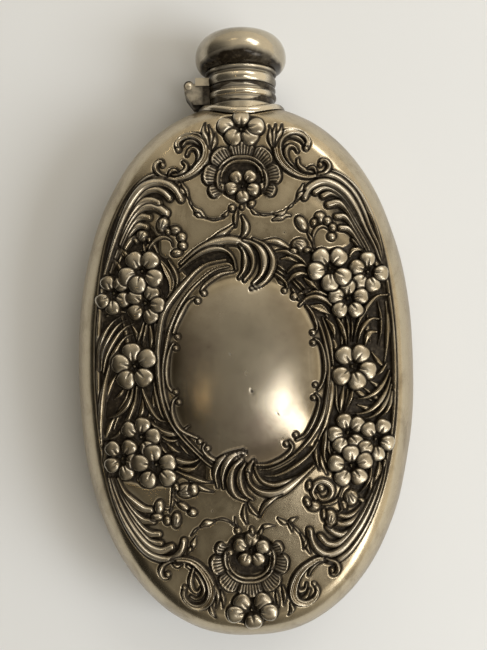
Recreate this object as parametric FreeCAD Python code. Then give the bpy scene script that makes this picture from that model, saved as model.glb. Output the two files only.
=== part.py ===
"""Hip flask: two die-struck silver half shells joined at a seam, a short round neck with a
saddle-shaped foot bead, a collar that swivels on the neck, and a hinged bayonet cap with a
hollow mushroom knob and a cork seal.

Frame, in millimetres: the flask lies on its back, +Z is up through the decorated front,
+Y runs along the neck from the bottom of the body to the knob, +X is to the right.
The origin is under the middle of the overall length and width, on the resting plane.
"""
import FreeCAD, Part
import math
import os

V = FreeCAD.Vector
os.makedirs("parts", exist_ok=True)

# ---------------------------------------------------------------- driving dimensions
LENGTH = 138.6            # bottom of the body to the top of the knob
BOTTOM_Y = -70.0          # lowest point of the body
BODY_A = 38.5             # half width of the body outline
BODY_B = 60.74            # half height of the body outline
OUTLINE_N = 2.2255        # superellipse exponent of the outline
WALL = 0.7                # sheet thickness of the two half shells
BACK_DEPTH = 11.0         # seam plane above the resting plane
FRONT_EDGE_Z = 11.5       # height of the rounded front edge above the seam
FRONT_EDGE_D = 8.0        # how far in the rounded front edge reaches
FRONT_CROWN = 1.95        # rise of the front field from its edge to its middle
BACK_EDGE_Z = 10.4
BACK_EDGE_D = 9.0
REST_SHARE = 0.56         # size of the flat on the back, as a share of the back field

NECK_BORE_R = 6.0
NECK_OUT_R = 6.6
NECK_LOW_Y = 46.6         # inner end of the neck tube
MOUTH_Y = 58.6            # mouth of the neck
FOOT_TOP_Y = 51.2
FOOT_OUT_R = 7.7
BEAD_PATH_R = 8.9
BEAD_R = 1.15
BEAD_RISE = -0.3

COLLAR_LOW_Y = 51.3
COLLAR_TOP_Y = 55.55
COLLAR_BORE_R = 6.68
COLLAR_BAND_R = 7.7
RETAINER_R = 7.15

CAP_LOW_Y = 55.75
FERRULE_IN_R = 7.35
FERRULE_OUT_R = 7.65
FERRULE_TOP_Y = 60.9
KNOB_R = 10.5
KNOB_MID_Y = 62.5
KNOB_TOP_Y = BOTTOM_Y + LENGTH
KNOB_WALL = 0.5

HINGE_X = -11.9           # hinge pin, left of the neck
HINGE_Y = 55.65
KNUCKLE_R = 1.2
PIN_R = 0.6
PIN_BORE_R = 0.66
LEAF_HALF_Z = 3.3
KNUCKLE_SPLIT_Z = 1.25
LEAF_GAP = 0.1

Y_LOW = BOTTOM_Y
BODY_Y = Y_LOW + BODY_B   # centre of the body outline
SEAM_Z = BACK_DEPTH


# ---------------------------------------------------------------- outline
def outline(count=64):
    """Points and outward normals at even spacing round the body outline, about its own centre."""
    dense = []
    steps = 7200
    for i in range(steps):
        t = 2 * math.pi * i / steps
        c, s = math.cos(t), math.sin(t)
        dense.append((BODY_A * math.copysign(abs(c) ** (2 / OUTLINE_N), c),
                      BODY_B * math.copysign(abs(s) ** (2 / OUTLINE_N), s)))
    run = [0.0]
    for i in range(steps):
        a, b = dense[i], dense[(i + 1) % steps]
        run.append(run[-1] + math.hypot(b[0] - a[0], b[1] - a[1]))
    total, out, j = run[-1], [], 0
    for k in range(count):
        want = total * (k + 0.5) / count
        while run[j + 1] < want:
            j += 1
        f = (want - run[j]) / (run[j + 1] - run[j])
        a, b = dense[j], dense[(j + 1) % steps]
        x, y = a[0] + f * (b[0] - a[0]), a[1] + f * (b[1] - a[1])
        nx = math.copysign(abs(x / BODY_A) ** (OUTLINE_N - 1) / BODY_A, x)
        ny = math.copysign(abs(y / BODY_B) ** (OUTLINE_N - 1) / BODY_B, y)
        h = math.hypot(nx, ny)
        out.append((x, y, nx / h, ny / h))
    return out


RIM = outline()


def ring_points(inset, share, z):
    """The outline moved in by inset, then scaled by share, at height z above the seam."""
    return [V((x - nx * inset) * share, (y - ny * inset) * share + BODY_Y, SEAM_Z + z)
            for x, y, nx, ny in RIM]


def skin(sections):
    """One smooth closed band through the sections, periodic round the outline."""
    rows = [ring_points(*s) for s in sections]
    count = len(RIM)
    around = [i / count for i in range(count + 1)]
    run = [0.0]
    for a, b in zip(rows, rows[1:]):
        run.append(run[-1] + (b[0] - a[0]).Length + (b[count // 4] - a[count // 4]).Length)
    up = [r / run[-1] for r in run]
    bands = []
    for row in rows:
        c = Part.BSplineCurve()
        c.interpolate(Points=row, PeriodicFlag=True, Parameters=around)
        bands.append(c)
    poles = []
    for i in range(bands[0].NbPoles):
        d = Part.BSplineCurve()
        d.interpolate(Points=[c.getPole(i + 1) for c in bands], Parameters=up)
        poles.append(d.getPoles())
    surface = Part.BSplineSurface()
    surface.buildFromPolesMultsKnots(poles, bands[0].getMultiplicities(), d.getMultiplicities(),
                                     bands[0].getKnots(), d.getKnots(), True, False, 3, 3)
    return surface.toShape()


def closed_edge(face, z):
    """The closed edge of a band that lies flat at height z."""
    for e in face.Edges:
        zs = [p.z for p in e.discretize(9)]
        if max(zs) - min(zs) < 1e-3 and abs(zs[0] - z) < 1e-3:
            return e
    raise ValueError("no flat edge at %.3f" % z)


def front_sections(grow):
    """(inset, share, z) from the seam to the middle. grow is 0 for the outside and the wall for the inside."""
    rows = []
    for deg in (0, 12, 24, 36, 48, 60, 72, 85):
        p = math.radians(deg)
        rows.append((FRONT_EDGE_D * (1 - math.cos(p)) + grow, 1.0, (FRONT_EDGE_Z - grow) * math.sin(p)))
    inset, _, z = rows[-1]
    for share in (0.85, 0.66, 0.46, 0.26, 0.1):
        rows.append((inset, share, z + FRONT_CROWN * (1 - share * share)))
    return rows


def back_sections(grow):
    rows = []
    for deg in (0, 12, 24, 36, 48, 60, 72, 84):
        p = math.radians(deg)
        rows.append((BACK_EDGE_D * (1 - math.cos(p)) + grow, 1.0, -(BACK_EDGE_Z - grow) * math.sin(p)))
    inset, _, z = rows[-1]
    flat = -(BACK_DEPTH - grow)
    for share in (0.88, 0.74, REST_SHARE):
        u = (1 - share) / (1 - REST_SHARE)
        rows.append((inset, share, z + (flat - z) * (1 - (1 - u) ** 2)))
    return rows


def solid_from(faces):
    shell = Part.makeShell(faces)
    shell.sewShape()
    solid = Part.Solid(shell)
    if solid.Volume < 0:
        solid.reverse()
    return solid


def dish(sections):
    """The full solid inside one dished half of the body."""
    band = skin(sections)
    low = closed_edge(band, SEAM_Z + sections[0][2])
    high = closed_edge(band, SEAM_Z + sections[-1][2])
    return solid_from([band, Part.Face(Part.Wire([low])), Part.Face(Part.Wire([high]))])


def half_shell(outer, inner):
    """The sheet between two dished skins, open at the seam."""
    a, b = skin(outer), skin(inner)
    rim_a, rim_b = closed_edge(a, SEAM_Z), closed_edge(b, SEAM_Z)
    top_a = Part.Face(Part.Wire([closed_edge(a, SEAM_Z + outer[-1][2])]))
    top_b = Part.Face(Part.Wire([closed_edge(b, SEAM_Z + inner[-1][2])]))
    rim = Part.Face(Part.Wire([rim_a])).cut(Part.Face(Part.Wire([rim_b]))).Faces
    return solid_from([a, b, top_a, top_b] + rim)


def turned(profile, axis_z=SEAM_Z):
    """A solid of revolution about the neck axis. profile is a closed list of (r, y), where ("arc", (r, y), (r, y)) bends through a middle point to an end."""
    edges, here = [], V(profile[0][0], profile[0][1], 0)
    for step in profile[1:] + [profile[0]]:
        if step[0] == "arc":
            mid, end = V(step[1][0], step[1][1], 0), V(step[2][0], step[2][1], 0)
            edges.append(Part.Arc(here, mid, end).toShape())
        else:
            end = V(step[0], step[1], 0)
            if (end - here).Length < 1e-7:
                continue
            edges.append(Part.LineSegment(here, end).toShape())
        here = end
    face = Part.Face(Part.Wire(edges))
    solid = face.revolve(V(0, 0, 0), V(0, 1, 0), 360)
    solid = Part.Solid(solid) if solid.ShapeType == "Shell" else solid
    solid.translate(V(0, 0, axis_z))
    return solid


def tube(r_in, r_out, low, high):
    return turned([(r_in, low), (r_out, low), (r_out, high), (r_in, high)])


def sector(r_in, r_out, low, high, middle_deg, half_deg):
    """A ring segment about the neck axis. The angle is from +X towards +Z."""
    ring = Part.makeCylinder(r_out, high - low, V(0, low, SEAM_Z), V(0, 1, 0)).cut(
        Part.makeCylinder(r_in, high - low + 2, V(0, low - 1, SEAM_Z), V(0, 1, 0)))
    reach = r_out * 2
    a, b = math.radians(middle_deg - half_deg), math.radians(middle_deg + half_deg)
    points = [V(0, low - 1, SEAM_Z),
              V(reach * math.cos(a), low - 1, SEAM_Z + reach * math.sin(a)),
              V(reach * math.cos(b), low - 1, SEAM_Z + reach * math.sin(b)),
              V(0, low - 1, SEAM_Z)]
    wedge = Part.Face(Part.makePolygon(points)).extrude(V(0, high - low + 2, 0))
    return ring.common(wedge)


def rod(x, y, z_low, z_high, r):
    return Part.makeCylinder(r, z_high - z_low, V(x, y, z_low), V(0, 0, 1))


def block(x0, x1, y0, y1, z0, z1):
    return Part.makeBox(x1 - x0, y1 - y0, z1 - z0, V(x0, y0, z0))


def solids_of(shape):
    return [s for s in shape.Solids if s.Volume > 0.01]


def save(name, shape):
    found = solids_of(shape)
    out = found[0] if len(found) == 1 else Part.makeCompound(found)
    for s in found:
        if not s.isValid():
            print("INVALID", name)
    b = out.BoundBox
    print("%-22s solids %d  volume %9.2f  x %.2f..%.2f y %.2f..%.2f z %.2f..%.2f" % (
        name, len(found), sum(s.Volume for s in found), b.XMin, b.XMax, b.YMin, b.YMax, b.ZMin, b.ZMax))
    out.exportStep("parts/%s.step" % name)
    return out


# ---------------------------------------------------------------- body shells
front_outer = dish(front_sections(0.0))
back_outer = dish(back_sections(0.0))
neck_hole = Part.makeCylinder(NECK_OUT_R, 30, V(0, 35, SEAM_Z), V(0, 1, 0))

front_shell = half_shell(front_sections(0.0), front_sections(WALL)).cut(neck_hole)
back_shell = half_shell(back_sections(0.0), back_sections(WALL)).cut(neck_hole)
save("front_shell", front_shell)
save("back_shell", back_shell)

# ---------------------------------------------------------------- neck, fixed to the body
save("neck_tube", tube(NECK_BORE_R, NECK_OUT_R, NECK_LOW_Y, MOUTH_Y))
save("mouth_ring", turned([(NECK_OUT_R, 58.0), (6.68, 58.0), ("arc", (6.8, 58.3), (6.68, 58.6)), (NECK_OUT_R, 58.6)]))

foot = tube(NECK_OUT_R, FOOT_OUT_R, 46.5, FOOT_TOP_Y).cut(front_outer).cut(back_outer)
save("neck_foot", foot)


def shoulder_y(x, z):
    """Height along +Y of the body's outside near the neck, at sideways distance x and z above the seam."""
    e_z, e_d = (FRONT_EDGE_Z, FRONT_EDGE_D) if z >= 0 else (BACK_EDGE_Z, BACK_EDGE_D)
    d = e_d * (1 - math.sqrt(max(0.0, 1 - (z / e_z) ** 2)))
    rim = BODY_B * (1 - abs(x / BODY_A) ** OUTLINE_N) ** (1 / OUTLINE_N)
    return BODY_Y + rim - d


def saddle_point(t):
    x, z = BEAD_PATH_R * math.cos(t), BEAD_PATH_R * math.sin(t)
    return V(x, shoulder_y(x, z) + BEAD_RISE, SEAM_Z + z)


def half_tube(centre, radius, start, along=20, around=12):
    """Half of a closed round wire, from angle start to start + 180 degrees, ended by flat discs."""
    rings = []
    for i in range(along + 1):
        t = start + math.pi * i / along
        c = centre(t)
        tangent = (centre(t + 1e-3) - centre(t - 1e-3)).normalize()
        if i in (0, along):
            tangent = V(0, 0, 1 if tangent.z > 0 else -1)
        out = V(math.cos(t), 0, math.sin(t))
        out = (out - tangent * out.dot(tangent)).normalize()
        side = tangent.cross(out)
        curve = Part.BSplineCurve()
        curve.interpolate(Points=[c + out * (radius * math.cos(2 * math.pi * j / around))
                                  + side * (radius * math.sin(2 * math.pi * j / around)) for j in range(around)],
                          PeriodicFlag=True, Parameters=[j / around for j in range(around + 1)])
        rings.append(curve)
    poles = []
    for j in range(rings[0].NbPoles):
        d = Part.BSplineCurve()
        d.interpolate(Points=[r.getPole(j + 1) for r in rings], Parameters=[i / along for i in range(along + 1)])
        poles.append(d.getPoles())
    surface = Part.BSplineSurface()
    surface.buildFromPolesMultsKnots(poles, rings[0].getMultiplicities(), d.getMultiplicities(),
                                     rings[0].getKnots(), d.getKnots(), True, False, 3, 3)
    face = surface.toShape()
    ends = [e for e in face.Edges if all(abs(p.z - SEAM_Z) < 1e-4 for p in e.discretize(9))]
    return solid_from([face] + [Part.Face(Part.Wire([e])) for e in ends])


bead = half_tube(saddle_point, BEAD_R, 0.0).fuse(half_tube(saddle_point, BEAD_R, math.pi)).removeSplitter()
print("bead", bead.isValid(), round(bead.Volume, 2), "ring length times section", round(
    math.pi * BEAD_R ** 2 * sum((saddle_point(2 * math.pi * (i + 1) / 200) - saddle_point(2 * math.pi * i / 200)).Length
                                for i in range(200)), 2))
bead = bead.cut(front_outer).cut(back_outer).cut(
    Part.makeCylinder(FOOT_OUT_R, 30, V(0, 35, SEAM_Z), V(0, 1, 0)))
save("neck_foot_bead", bead)

save("neck_bayonet_lugs", Part.makeCompound(
    [sector(NECK_OUT_R, 7.12, 56.75, 57.3, a, 18) for a in (0, 180)]))
save("collar_retaining_ring", tube(NECK_OUT_R, RETAINER_R, 54.65, 55.3))

# ---------------------------------------------------------------- collar that turns on the neck
collar = turned([
    (COLLAR_BORE_R, COLLAR_LOW_Y), (COLLAR_BAND_R, COLLAR_LOW_Y), (COLLAR_BAND_R, 54.45),
    ("arc", (8.0, 55.0), (COLLAR_BAND_R, COLLAR_TOP_Y)), (7.25, COLLAR_TOP_Y), (7.25, 54.58),
    (COLLAR_BORE_R, 54.58)])
collar_bead = turned([(COLLAR_BAND_R, 52.6), ("arc", (8.15, 53.35), (COLLAR_BAND_R, 54.1))])
save("swivel_collar", collar)
save("collar_bead", collar_bead)

z_in, z_out = KNUCKLE_SPLIT_Z, LEAF_HALF_Z
lower_edges = [Part.LineSegment(V(-7.2, 51.45, 0), V(-11.1, 51.45, 0)).toShape(),
               Part.LineSegment(V(-11.1, 51.45, 0), V(-12.9, 53.9, 0)).toShape(),
               Part.LineSegment(V(-12.9, 53.9, 0), V(HINGE_X - KNUCKLE_R, HINGE_Y, 0)).toShape(),
               Part.LineSegment(V(HINGE_X - KNUCKLE_R, HINGE_Y, 0), V(-7.2, HINGE_Y - LEAF_GAP / 2, 0)).toShape(),
               Part.LineSegment(V(-7.2, HINGE_Y - LEAF_GAP / 2, 0), V(-7.2, 51.45, 0)).toShape()]
lower = Part.Face(Part.Wire(lower_edges)).extrude(V(0, 0, 2 * z_out))
lower.translate(V(0, 0, SEAM_Z - z_out))
lower = lower.cut(Part.makeCylinder(COLLAR_BAND_R, 20, V(0, 45, SEAM_Z), V(0, 1, 0))).cut(collar).cut(collar_bead)
lower = lower.cut(rod(HINGE_X, HINGE_Y, SEAM_Z - z_in, SEAM_Z + z_in, KNUCKLE_R + 0.15))
lower = lower.cut(block(-20, HINGE_X + 0.2, HINGE_Y - 1.2, 60, SEAM_Z - z_in, SEAM_Z + z_in))
for sign in (-1, 1):
    lo, hi = sorted((SEAM_Z + sign * z_in, SEAM_Z + sign * z_out))
    lower = lower.fuse(rod(HINGE_X, HINGE_Y, lo, hi, KNUCKLE_R))
lower = lower.cut(rod(HINGE_X, HINGE_Y, SEAM_Z - 6, SEAM_Z + 6, PIN_R)).removeSplitter()
save("lower_hinge_leaf", lower)

pin = rod(HINGE_X, HINGE_Y, SEAM_Z - z_out - 0.35, SEAM_Z + z_out + 0.35, PIN_R)
for sign in (-1, 1):
    head = Part.makeCylinder(0.82, 0.28, V(HINGE_X, HINGE_Y, SEAM_Z + sign * z_out), V(0, 0, sign))
    cap_of_head = Part.makeSphere(1.35, V(HINGE_X, HINGE_Y, SEAM_Z + sign * (z_out + 0.45 - 1.35)))
    pin = pin.fuse(head)
    dome = cap_of_head.common(Part.makeCylinder(0.82, 0.45, V(HINGE_X, HINGE_Y, SEAM_Z + sign * z_out), V(0, 0, sign)))
    pin = pin.fuse(dome)
save("hinge_pin", pin.removeSplitter())

# ---------------------------------------------------------------- cap
ferrule = tube(FERRULE_IN_R, FERRULE_OUT_R, CAP_LOW_Y, FERRULE_TOP_Y)
thick_ring = turned([(FERRULE_OUT_R, CAP_LOW_Y), (7.72, CAP_LOW_Y), ("arc", (8.1, 56.9), (7.72, 58.05)), (FERRULE_OUT_R, 58.05)])
trim_ring = turned([(FERRULE_OUT_R, 58.5), (7.95, 58.5), ("arc", (8.3, 58.88), (7.95, 59.25)), (FERRULE_OUT_R, 59.25)])
save("cap_ferrule", ferrule)
save("cap_bead_ring", thick_ring)
save("cap_trim_ring", trim_ring)


def knob_curve(points, inward):
    """A smooth (r, y) curve through points, moved in by inward, sampled as a B-spline edge."""
    c = Part.BSplineCurve()
    c.interpolate(Points=[V(r, y, 0) for r, y in points])
    if not inward:
        return c
    moved = []
    n = 24
    for i in range(n + 1):
        u = c.FirstParameter + (c.LastParameter - c.FirstParameter) * i / n
        p, t = c.value(u), c.tangent(u)[0]
        q = V(p.x + t.y * inward, p.y - t.x * inward, 0)
        moved.append(q)
    d = Part.BSplineCurve()
    d.interpolate(Points=moved)
    return d


def revolve_edges(edges):
    solid = Part.Face(Part.Wire(edges)).revolve(V(0, 0, 0), V(0, 1, 0), 360)
    solid = Part.Solid(solid) if solid.ShapeType == "Shell" else solid
    solid.translate(V(0, 0, SEAM_Z))
    return solid


def line(a, b):
    return Part.LineSegment(a, b).toShape()


# Upper half of the knob: from its widest line over the crown to the axis.
upper = [(KNOB_R, KNOB_MID_Y), (10.28, 64.15), (9.4, 65.9), (7.5, 67.45), (4.3, 68.35), (0.0, KNOB_TOP_Y)]
co = Part.BSplineCurve()
co.interpolate(Points=[V(r, y, 0) for r, y in upper], InitialTangent=V(0, 1, 0), FinalTangent=V(-1, 0, 0))
inner_points = []
for i in range(25):
    u = co.FirstParameter + (co.LastParameter - co.FirstParameter) * i / 24
    p, t = co.value(u), co.tangent(u)[0]
    inner_points.append(V(max(0.0, p.x - t.y * KNOB_WALL), p.y + t.x * KNOB_WALL, 0))
inner_points[0] = V(KNOB_R - KNOB_WALL, KNOB_MID_Y, 0)
inner_points[-1] = V(0, KNOB_TOP_Y - KNOB_WALL, 0)
ci = Part.BSplineCurve()
ci.interpolate(Points=inner_points)
knob_upper = revolve_edges([co.toShape(), line(V(0, KNOB_TOP_Y, 0), V(0, KNOB_TOP_Y - KNOB_WALL, 0)), ci.toShape(),
                            line(V(KNOB_R - KNOB_WALL, KNOB_MID_Y, 0), V(KNOB_R, KNOB_MID_Y, 0))])
save("knob_upper", knob_upper)

# Lower half of the knob: from the widest line in to the ferrule.
lower_pts = [(KNOB_R, KNOB_MID_Y), (10.28, 61.1), (9.5, 59.95), (8.0, 59.35)]
cl = Part.BSplineCurve()
cl.interpolate(Points=[V(r, y, 0) for r, y in lower_pts], InitialTangent=V(0, -1, 0), FinalTangent=V(-1.6, -0.6, 0))
inner_points = []
for i in range(17):
    u = cl.FirstParameter + (cl.LastParameter - cl.FirstParameter) * i / 16
    p, t = cl.value(u), cl.tangent(u)[0]
    inner_points.append(V(p.x + t.y * KNOB_WALL, p.y - t.x * KNOB_WALL, 0))
inner_points[0] = V(KNOB_R - KNOB_WALL, KNOB_MID_Y, 0)
cj = Part.BSplineCurve()
cj.interpolate(Points=inner_points)
end_o, end_i = V(8.0, 59.35, 0), inner_points[-1]
knob_lower = revolve_edges([cl.toShape(), line(end_o, V(FERRULE_OUT_R, 59.25, 0)),
                            line(V(FERRULE_OUT_R, 59.25, 0), V(FERRULE_OUT_R, 59.85, 0)),
                            line(V(FERRULE_OUT_R, 59.85, 0), end_i), cj.toShape(),
                            line(V(KNOB_R - KNOB_WALL, KNOB_MID_Y, 0), V(KNOB_R, KNOB_MID_Y, 0))])
save("knob_lower", knob_lower)

save("cork_backing_plate", Part.makeCylinder(FERRULE_IN_R, 0.45, V(0, 60.35, SEAM_Z), V(0, 1, 0)))
save("cork_seal", Part.makeCylinder(7.2, 60.35 - 58.65, V(0, 58.65, SEAM_Z), V(0, 1, 0)))
save("cap_bayonet_lugs", Part.makeCompound(
    [sector(6.92, FERRULE_IN_R, 55.9, 56.45, a, 18) for a in (90, 270)]))

arm = block(-10.45, -7.3, HINGE_Y + LEAF_GAP, 57.55, SEAM_Z - z_out, SEAM_Z + z_out)
envelope = Part.makeCylinder(FERRULE_OUT_R, 10, V(0, 53, SEAM_Z), V(0, 1, 0)).fuse(thick_ring)
arm = arm.cut(envelope)
arm = arm.cut(rod(HINGE_X, HINGE_Y, SEAM_Z - 6, SEAM_Z - z_in, KNUCKLE_R + 0.12)).cut(
    rod(HINGE_X, HINGE_Y, SEAM_Z + z_in, SEAM_Z + 6, KNUCKLE_R + 0.12))
web = block(HINGE_X, -10.4, HINGE_Y + LEAF_GAP, HINGE_Y + KNUCKLE_R, SEAM_Z - z_in + 0.06, SEAM_Z + z_in - 0.06)
knuckle = rod(HINGE_X, HINGE_Y, SEAM_Z - z_in + 0.06, SEAM_Z + z_in - 0.06, KNUCKLE_R)
leaf = arm.fuse(web).fuse(knuckle).cut(rod(HINGE_X, HINGE_Y, SEAM_Z - 6, SEAM_Z + 6, PIN_BORE_R)).removeSplitter()
save("upper_hinge_leaf", leaf)
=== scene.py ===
"""Looks of the oval embossed hip flask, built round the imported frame. Lengths in the relief
code are in millimetres in the flask's own X and Y; Blender pieces are in metres."""
import math
import bpy
import bmesh
import numpy as np
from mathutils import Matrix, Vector


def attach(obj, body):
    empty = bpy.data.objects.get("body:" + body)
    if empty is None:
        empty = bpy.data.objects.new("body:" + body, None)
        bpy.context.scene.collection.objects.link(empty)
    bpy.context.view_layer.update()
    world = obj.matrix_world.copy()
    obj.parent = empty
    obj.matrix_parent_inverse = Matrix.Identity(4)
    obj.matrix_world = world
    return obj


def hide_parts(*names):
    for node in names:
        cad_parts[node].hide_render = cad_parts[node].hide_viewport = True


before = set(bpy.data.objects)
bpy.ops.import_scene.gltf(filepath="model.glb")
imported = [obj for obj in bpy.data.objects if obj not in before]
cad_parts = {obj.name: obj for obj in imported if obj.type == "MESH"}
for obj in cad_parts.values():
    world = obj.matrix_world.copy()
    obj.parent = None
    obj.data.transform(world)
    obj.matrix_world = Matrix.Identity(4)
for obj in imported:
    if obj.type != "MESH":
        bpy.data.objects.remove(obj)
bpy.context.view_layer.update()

RNG = np.random.default_rng(7)

# ------------------------------------------------------------------ body geometry, as in the CAD
BOTTOM_Y = -70.0
BODY_A, BODY_B, OUTLINE_N = 38.5, 60.74, 2.2255
BODY_Y = BOTTOM_Y + BODY_B
SEAM_Z = 11.0
FRONT_EDGE_Z, FRONT_EDGE_D, FRONT_CROWN = 11.5, 8.0, 1.95

# ------------------------------------------------------------------ the relief, drawn as strokes
CELL = 0.1
X_LOW, X_HIGH, Y_LOW, Y_HIGH = -38.0, 38.0, -70.0, 52.0
SHIFT = -0.65            # the ornament's own middle line, moved to the flask's
xs = np.arange(X_LOW, X_HIGH + CELL / 2, CELL)
ys = np.arange(Y_LOW, Y_HIGH + CELL / 2, CELL)
HEIGHT = np.zeros((len(ys), len(xs)), np.float32)
GRIME = np.zeros_like(HEIGHT)     # where oxide sits, 0 to 1


def smooth(x):
    x = np.clip(x, 0, 1)
    return x * x * (3 - 2 * x)


def curve_points(points, step=0.22):
    """Catmull-Rom through the points, sampled about evenly."""
    p = np.asarray(points, float)
    if len(p) == 2:
        p = np.vstack([p[0], p.mean(0), p[1]])
    p = np.vstack([2 * p[0] - p[1], p, 2 * p[-1] - p[-2]])
    out = []
    for i in range(1, len(p) - 2):
        a, b, c, d = p[i - 1], p[i], p[i + 1], p[i + 2]
        n = max(2, int(np.linalg.norm(c - b) / step))
        t = np.arange(n)[:, None] / n
        out.append(0.5 * ((2 * b) + (c - a) * t + (2 * a - 5 * b + 4 * c - d) * t ** 2
                          + (3 * b - a - 3 * c + d) * t ** 3))
    out.append(p[-2][None])
    return np.vstack(out)


def window(points, margin):
    lo, hi = points.min(0) - margin, points.max(0) + margin
    i0 = max(0, int((lo[0] - X_LOW) / CELL)); i1 = min(len(xs), int((hi[0] - X_LOW) / CELL) + 2)
    j0 = max(0, int((lo[1] - Y_LOW) / CELL)); j1 = min(len(ys), int((hi[1] - Y_LOW) / CELL) + 2)
    gx, gy = np.meshgrid(xs[i0:i1], ys[j0:j1])
    return (slice(j0, j1), slice(i0, i1)), gx, gy


def nearest(line, gx, gy):
    """Distance to the line, share of the way along it, and which side (+1 left)."""
    q = np.stack([gx.ravel(), gy.ravel()], 1)
    a, b = line[:-1], line[1:]
    ab = b - a
    seg = np.linalg.norm(ab, axis=1)
    run = np.concatenate([[0], np.cumsum(seg)])
    best = np.full(len(q), 1e9); along = np.zeros(len(q)); side = np.ones(len(q))
    for k in range(len(a)):
        ap = q - a[k]
        t = np.clip((ap @ ab[k]) / max(seg[k] ** 2, 1e-9), 0, 1)
        d = ap - t[:, None] * ab[k]
        dist = np.hypot(d[:, 0], d[:, 1])
        m = dist < best
        best[m] = dist[m]
        along[m] = (run[k] + t[m] * seg[k]) / max(run[-1], 1e-9)
        side[m] = np.sign(ab[k][0] * ap[m, 1] - ab[k][1] * ap[m, 0])
    return best.reshape(gx.shape), along.reshape(gx.shape), side.reshape(gx.shape)


WIDER = 1.16             # every stroke is cut this much wider than its drawn half width


def taper(t, start, middle, end):
    """Width factor along a stroke: start and end are the factors at its tips."""
    a = smooth(np.clip(t / middle, 0, 1)); b = smooth(np.clip((1 - t) / (1 - middle), 0, 1))
    return np.where(t < middle, start + (1 - start) * a, end + (1 - end) * b)


def lay(win, inside, z, dist_out, groove, depth, grime, edge=0.75):
    """Puts a raised shape down: it covers what is under it, with a chased line round its edge."""
    h, g = HEIGHT[win], GRIME[win]
    near = (~inside) & (dist_out < groove)
    f = 1 - dist_out / groove
    h[near] = (h - depth * smooth(f))[near]
    g[near] = np.maximum(g, grime * smooth(f * 1.4))[near]
    h[inside] = z[inside]
    g[inside] = (edge * smooth((dist_out + 0.13) / 0.13))[inside]


def stroke(points, w=0.5, h=0.6, ends=(0.25, 0.3), middle=0.5, prof="round", groove=0.42, depth=0.22,
           base=0.0, grime=1.0, lift=0.0, shift=True):
    line = curve_points(points)
    if shift:
        line = line + np.array([SHIFT, 0])
    win, gx, gy = window(line, w + groove + 0.2)
    d, t, s = nearest(line, gx, gy)
    k = taper(t, ends[0], middle, ends[1])
    wl = WIDER * w * k
    r = np.clip(d / wl, 0, 1)
    if prof == "round":
        z = np.sqrt(1 - r ** 2.6 * 0.985)
    elif prof in ("blade", "blade2"):           # a rounded ridge set off to one side
        x = np.clip((s if prof == "blade" else -s) * d / wl, -1, 1)
        z = np.sqrt(np.clip(1 - 0.985 * np.abs(np.where(x > 0.3, (x - 0.3) / 0.7, (x - 0.3) / 1.3)) ** 2.5, 0, 1))
    elif prof == "flute":                       # two rims with a hollow between
        z = np.where(r < 0.62, 0.45 + 0.55 * smooth((r / 0.62) ** 1.5), np.sqrt(np.clip(1 - ((r - 0.62) / 0.38) ** 2 * 0.98, 0, 1)))
    else:
        z = smooth((1 - r) * 2.2)
    z = base + lift + 1.15 * h * (0.35 + 0.65 * k) * z
    inside = d < wl
    lay(win, inside, z, d - wl, groove, depth, grime)


def ball(x, y, rx, ry=None, h=0.9, rot=0.0, groove=0.4, depth=0.25, base=0.0, power=2.0, shift=True):
    ry = ry or rx
    c = np.array([[x + (SHIFT if shift else 0), y]])
    win, gx, gy = window(c, max(rx, ry) + groove + 0.2)
    a = math.radians(rot)
    u = (gx - c[0, 0]) * math.cos(a) + (gy - c[0, 1]) * math.sin(a)
    v = -(gx - c[0, 0]) * math.sin(a) + (gy - c[0, 1]) * math.cos(a)
    r = (np.abs(u / rx) ** power + np.abs(v / ry) ** power) ** (1 / power)
    z = base + h * np.sqrt(np.clip(1 - r ** 2, 0, 1))
    lay(win, r < 1, z, (r - 1) * min(rx, ry), groove, depth, 1.0)
    return win


def petal(cx, cy, ang, ring, size, h, base):
    """One domed petal: broad outside, narrower to the flower's eye, with a crease from the eye."""
    a = math.radians(ang)
    px, py = cx + ring * math.cos(a), cy + ring * math.sin(a)
    c = np.array([[px + SHIFT, py]])
    win, gx, gy = window(c, size * 1.3 + 0.6)
    u = (gx - c[0, 0]) * math.cos(a) + (gy - c[0, 1]) * math.sin(a)
    v = -(gx - c[0, 0]) * math.sin(a) + (gy - c[0, 1]) * math.cos(a)
    size = size * 1.24
    wide = size * (1.0 + 0.14 * np.clip(u / size, -1, 1))
    r = (np.abs(u / (size * 1.0)) ** 2.2 + np.abs(v / wide) ** 2.2) ** (1 / 2.2)
    z = h * 0.86 * (0.35 + 0.65 * np.clip(1 - r ** 2.2, 0, 1) ** 0.62) * np.clip((1 - r) / 0.1, 0, 1) ** 0.6
    crease = np.exp(-(v / 0.15) ** 2) * smooth((-u / size + 0.25) / 0.9)
    notch = np.exp(-(v / 0.3) ** 2) * smooth((u / size - 0.72) / 0.25)
    z = base + z - (0.34 * crease + 0.14 * notch) * (r < 1)
    lay(win, r < 1, z, (r - 1) * size, 0.26, 0.34, 1.0)
    g = GRIME[win]
    m = r < 1
    g[m] = np.maximum(g, 0.8 * crease + 0.95 * smooth((r - 0.86) / 0.12))[m]


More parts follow.
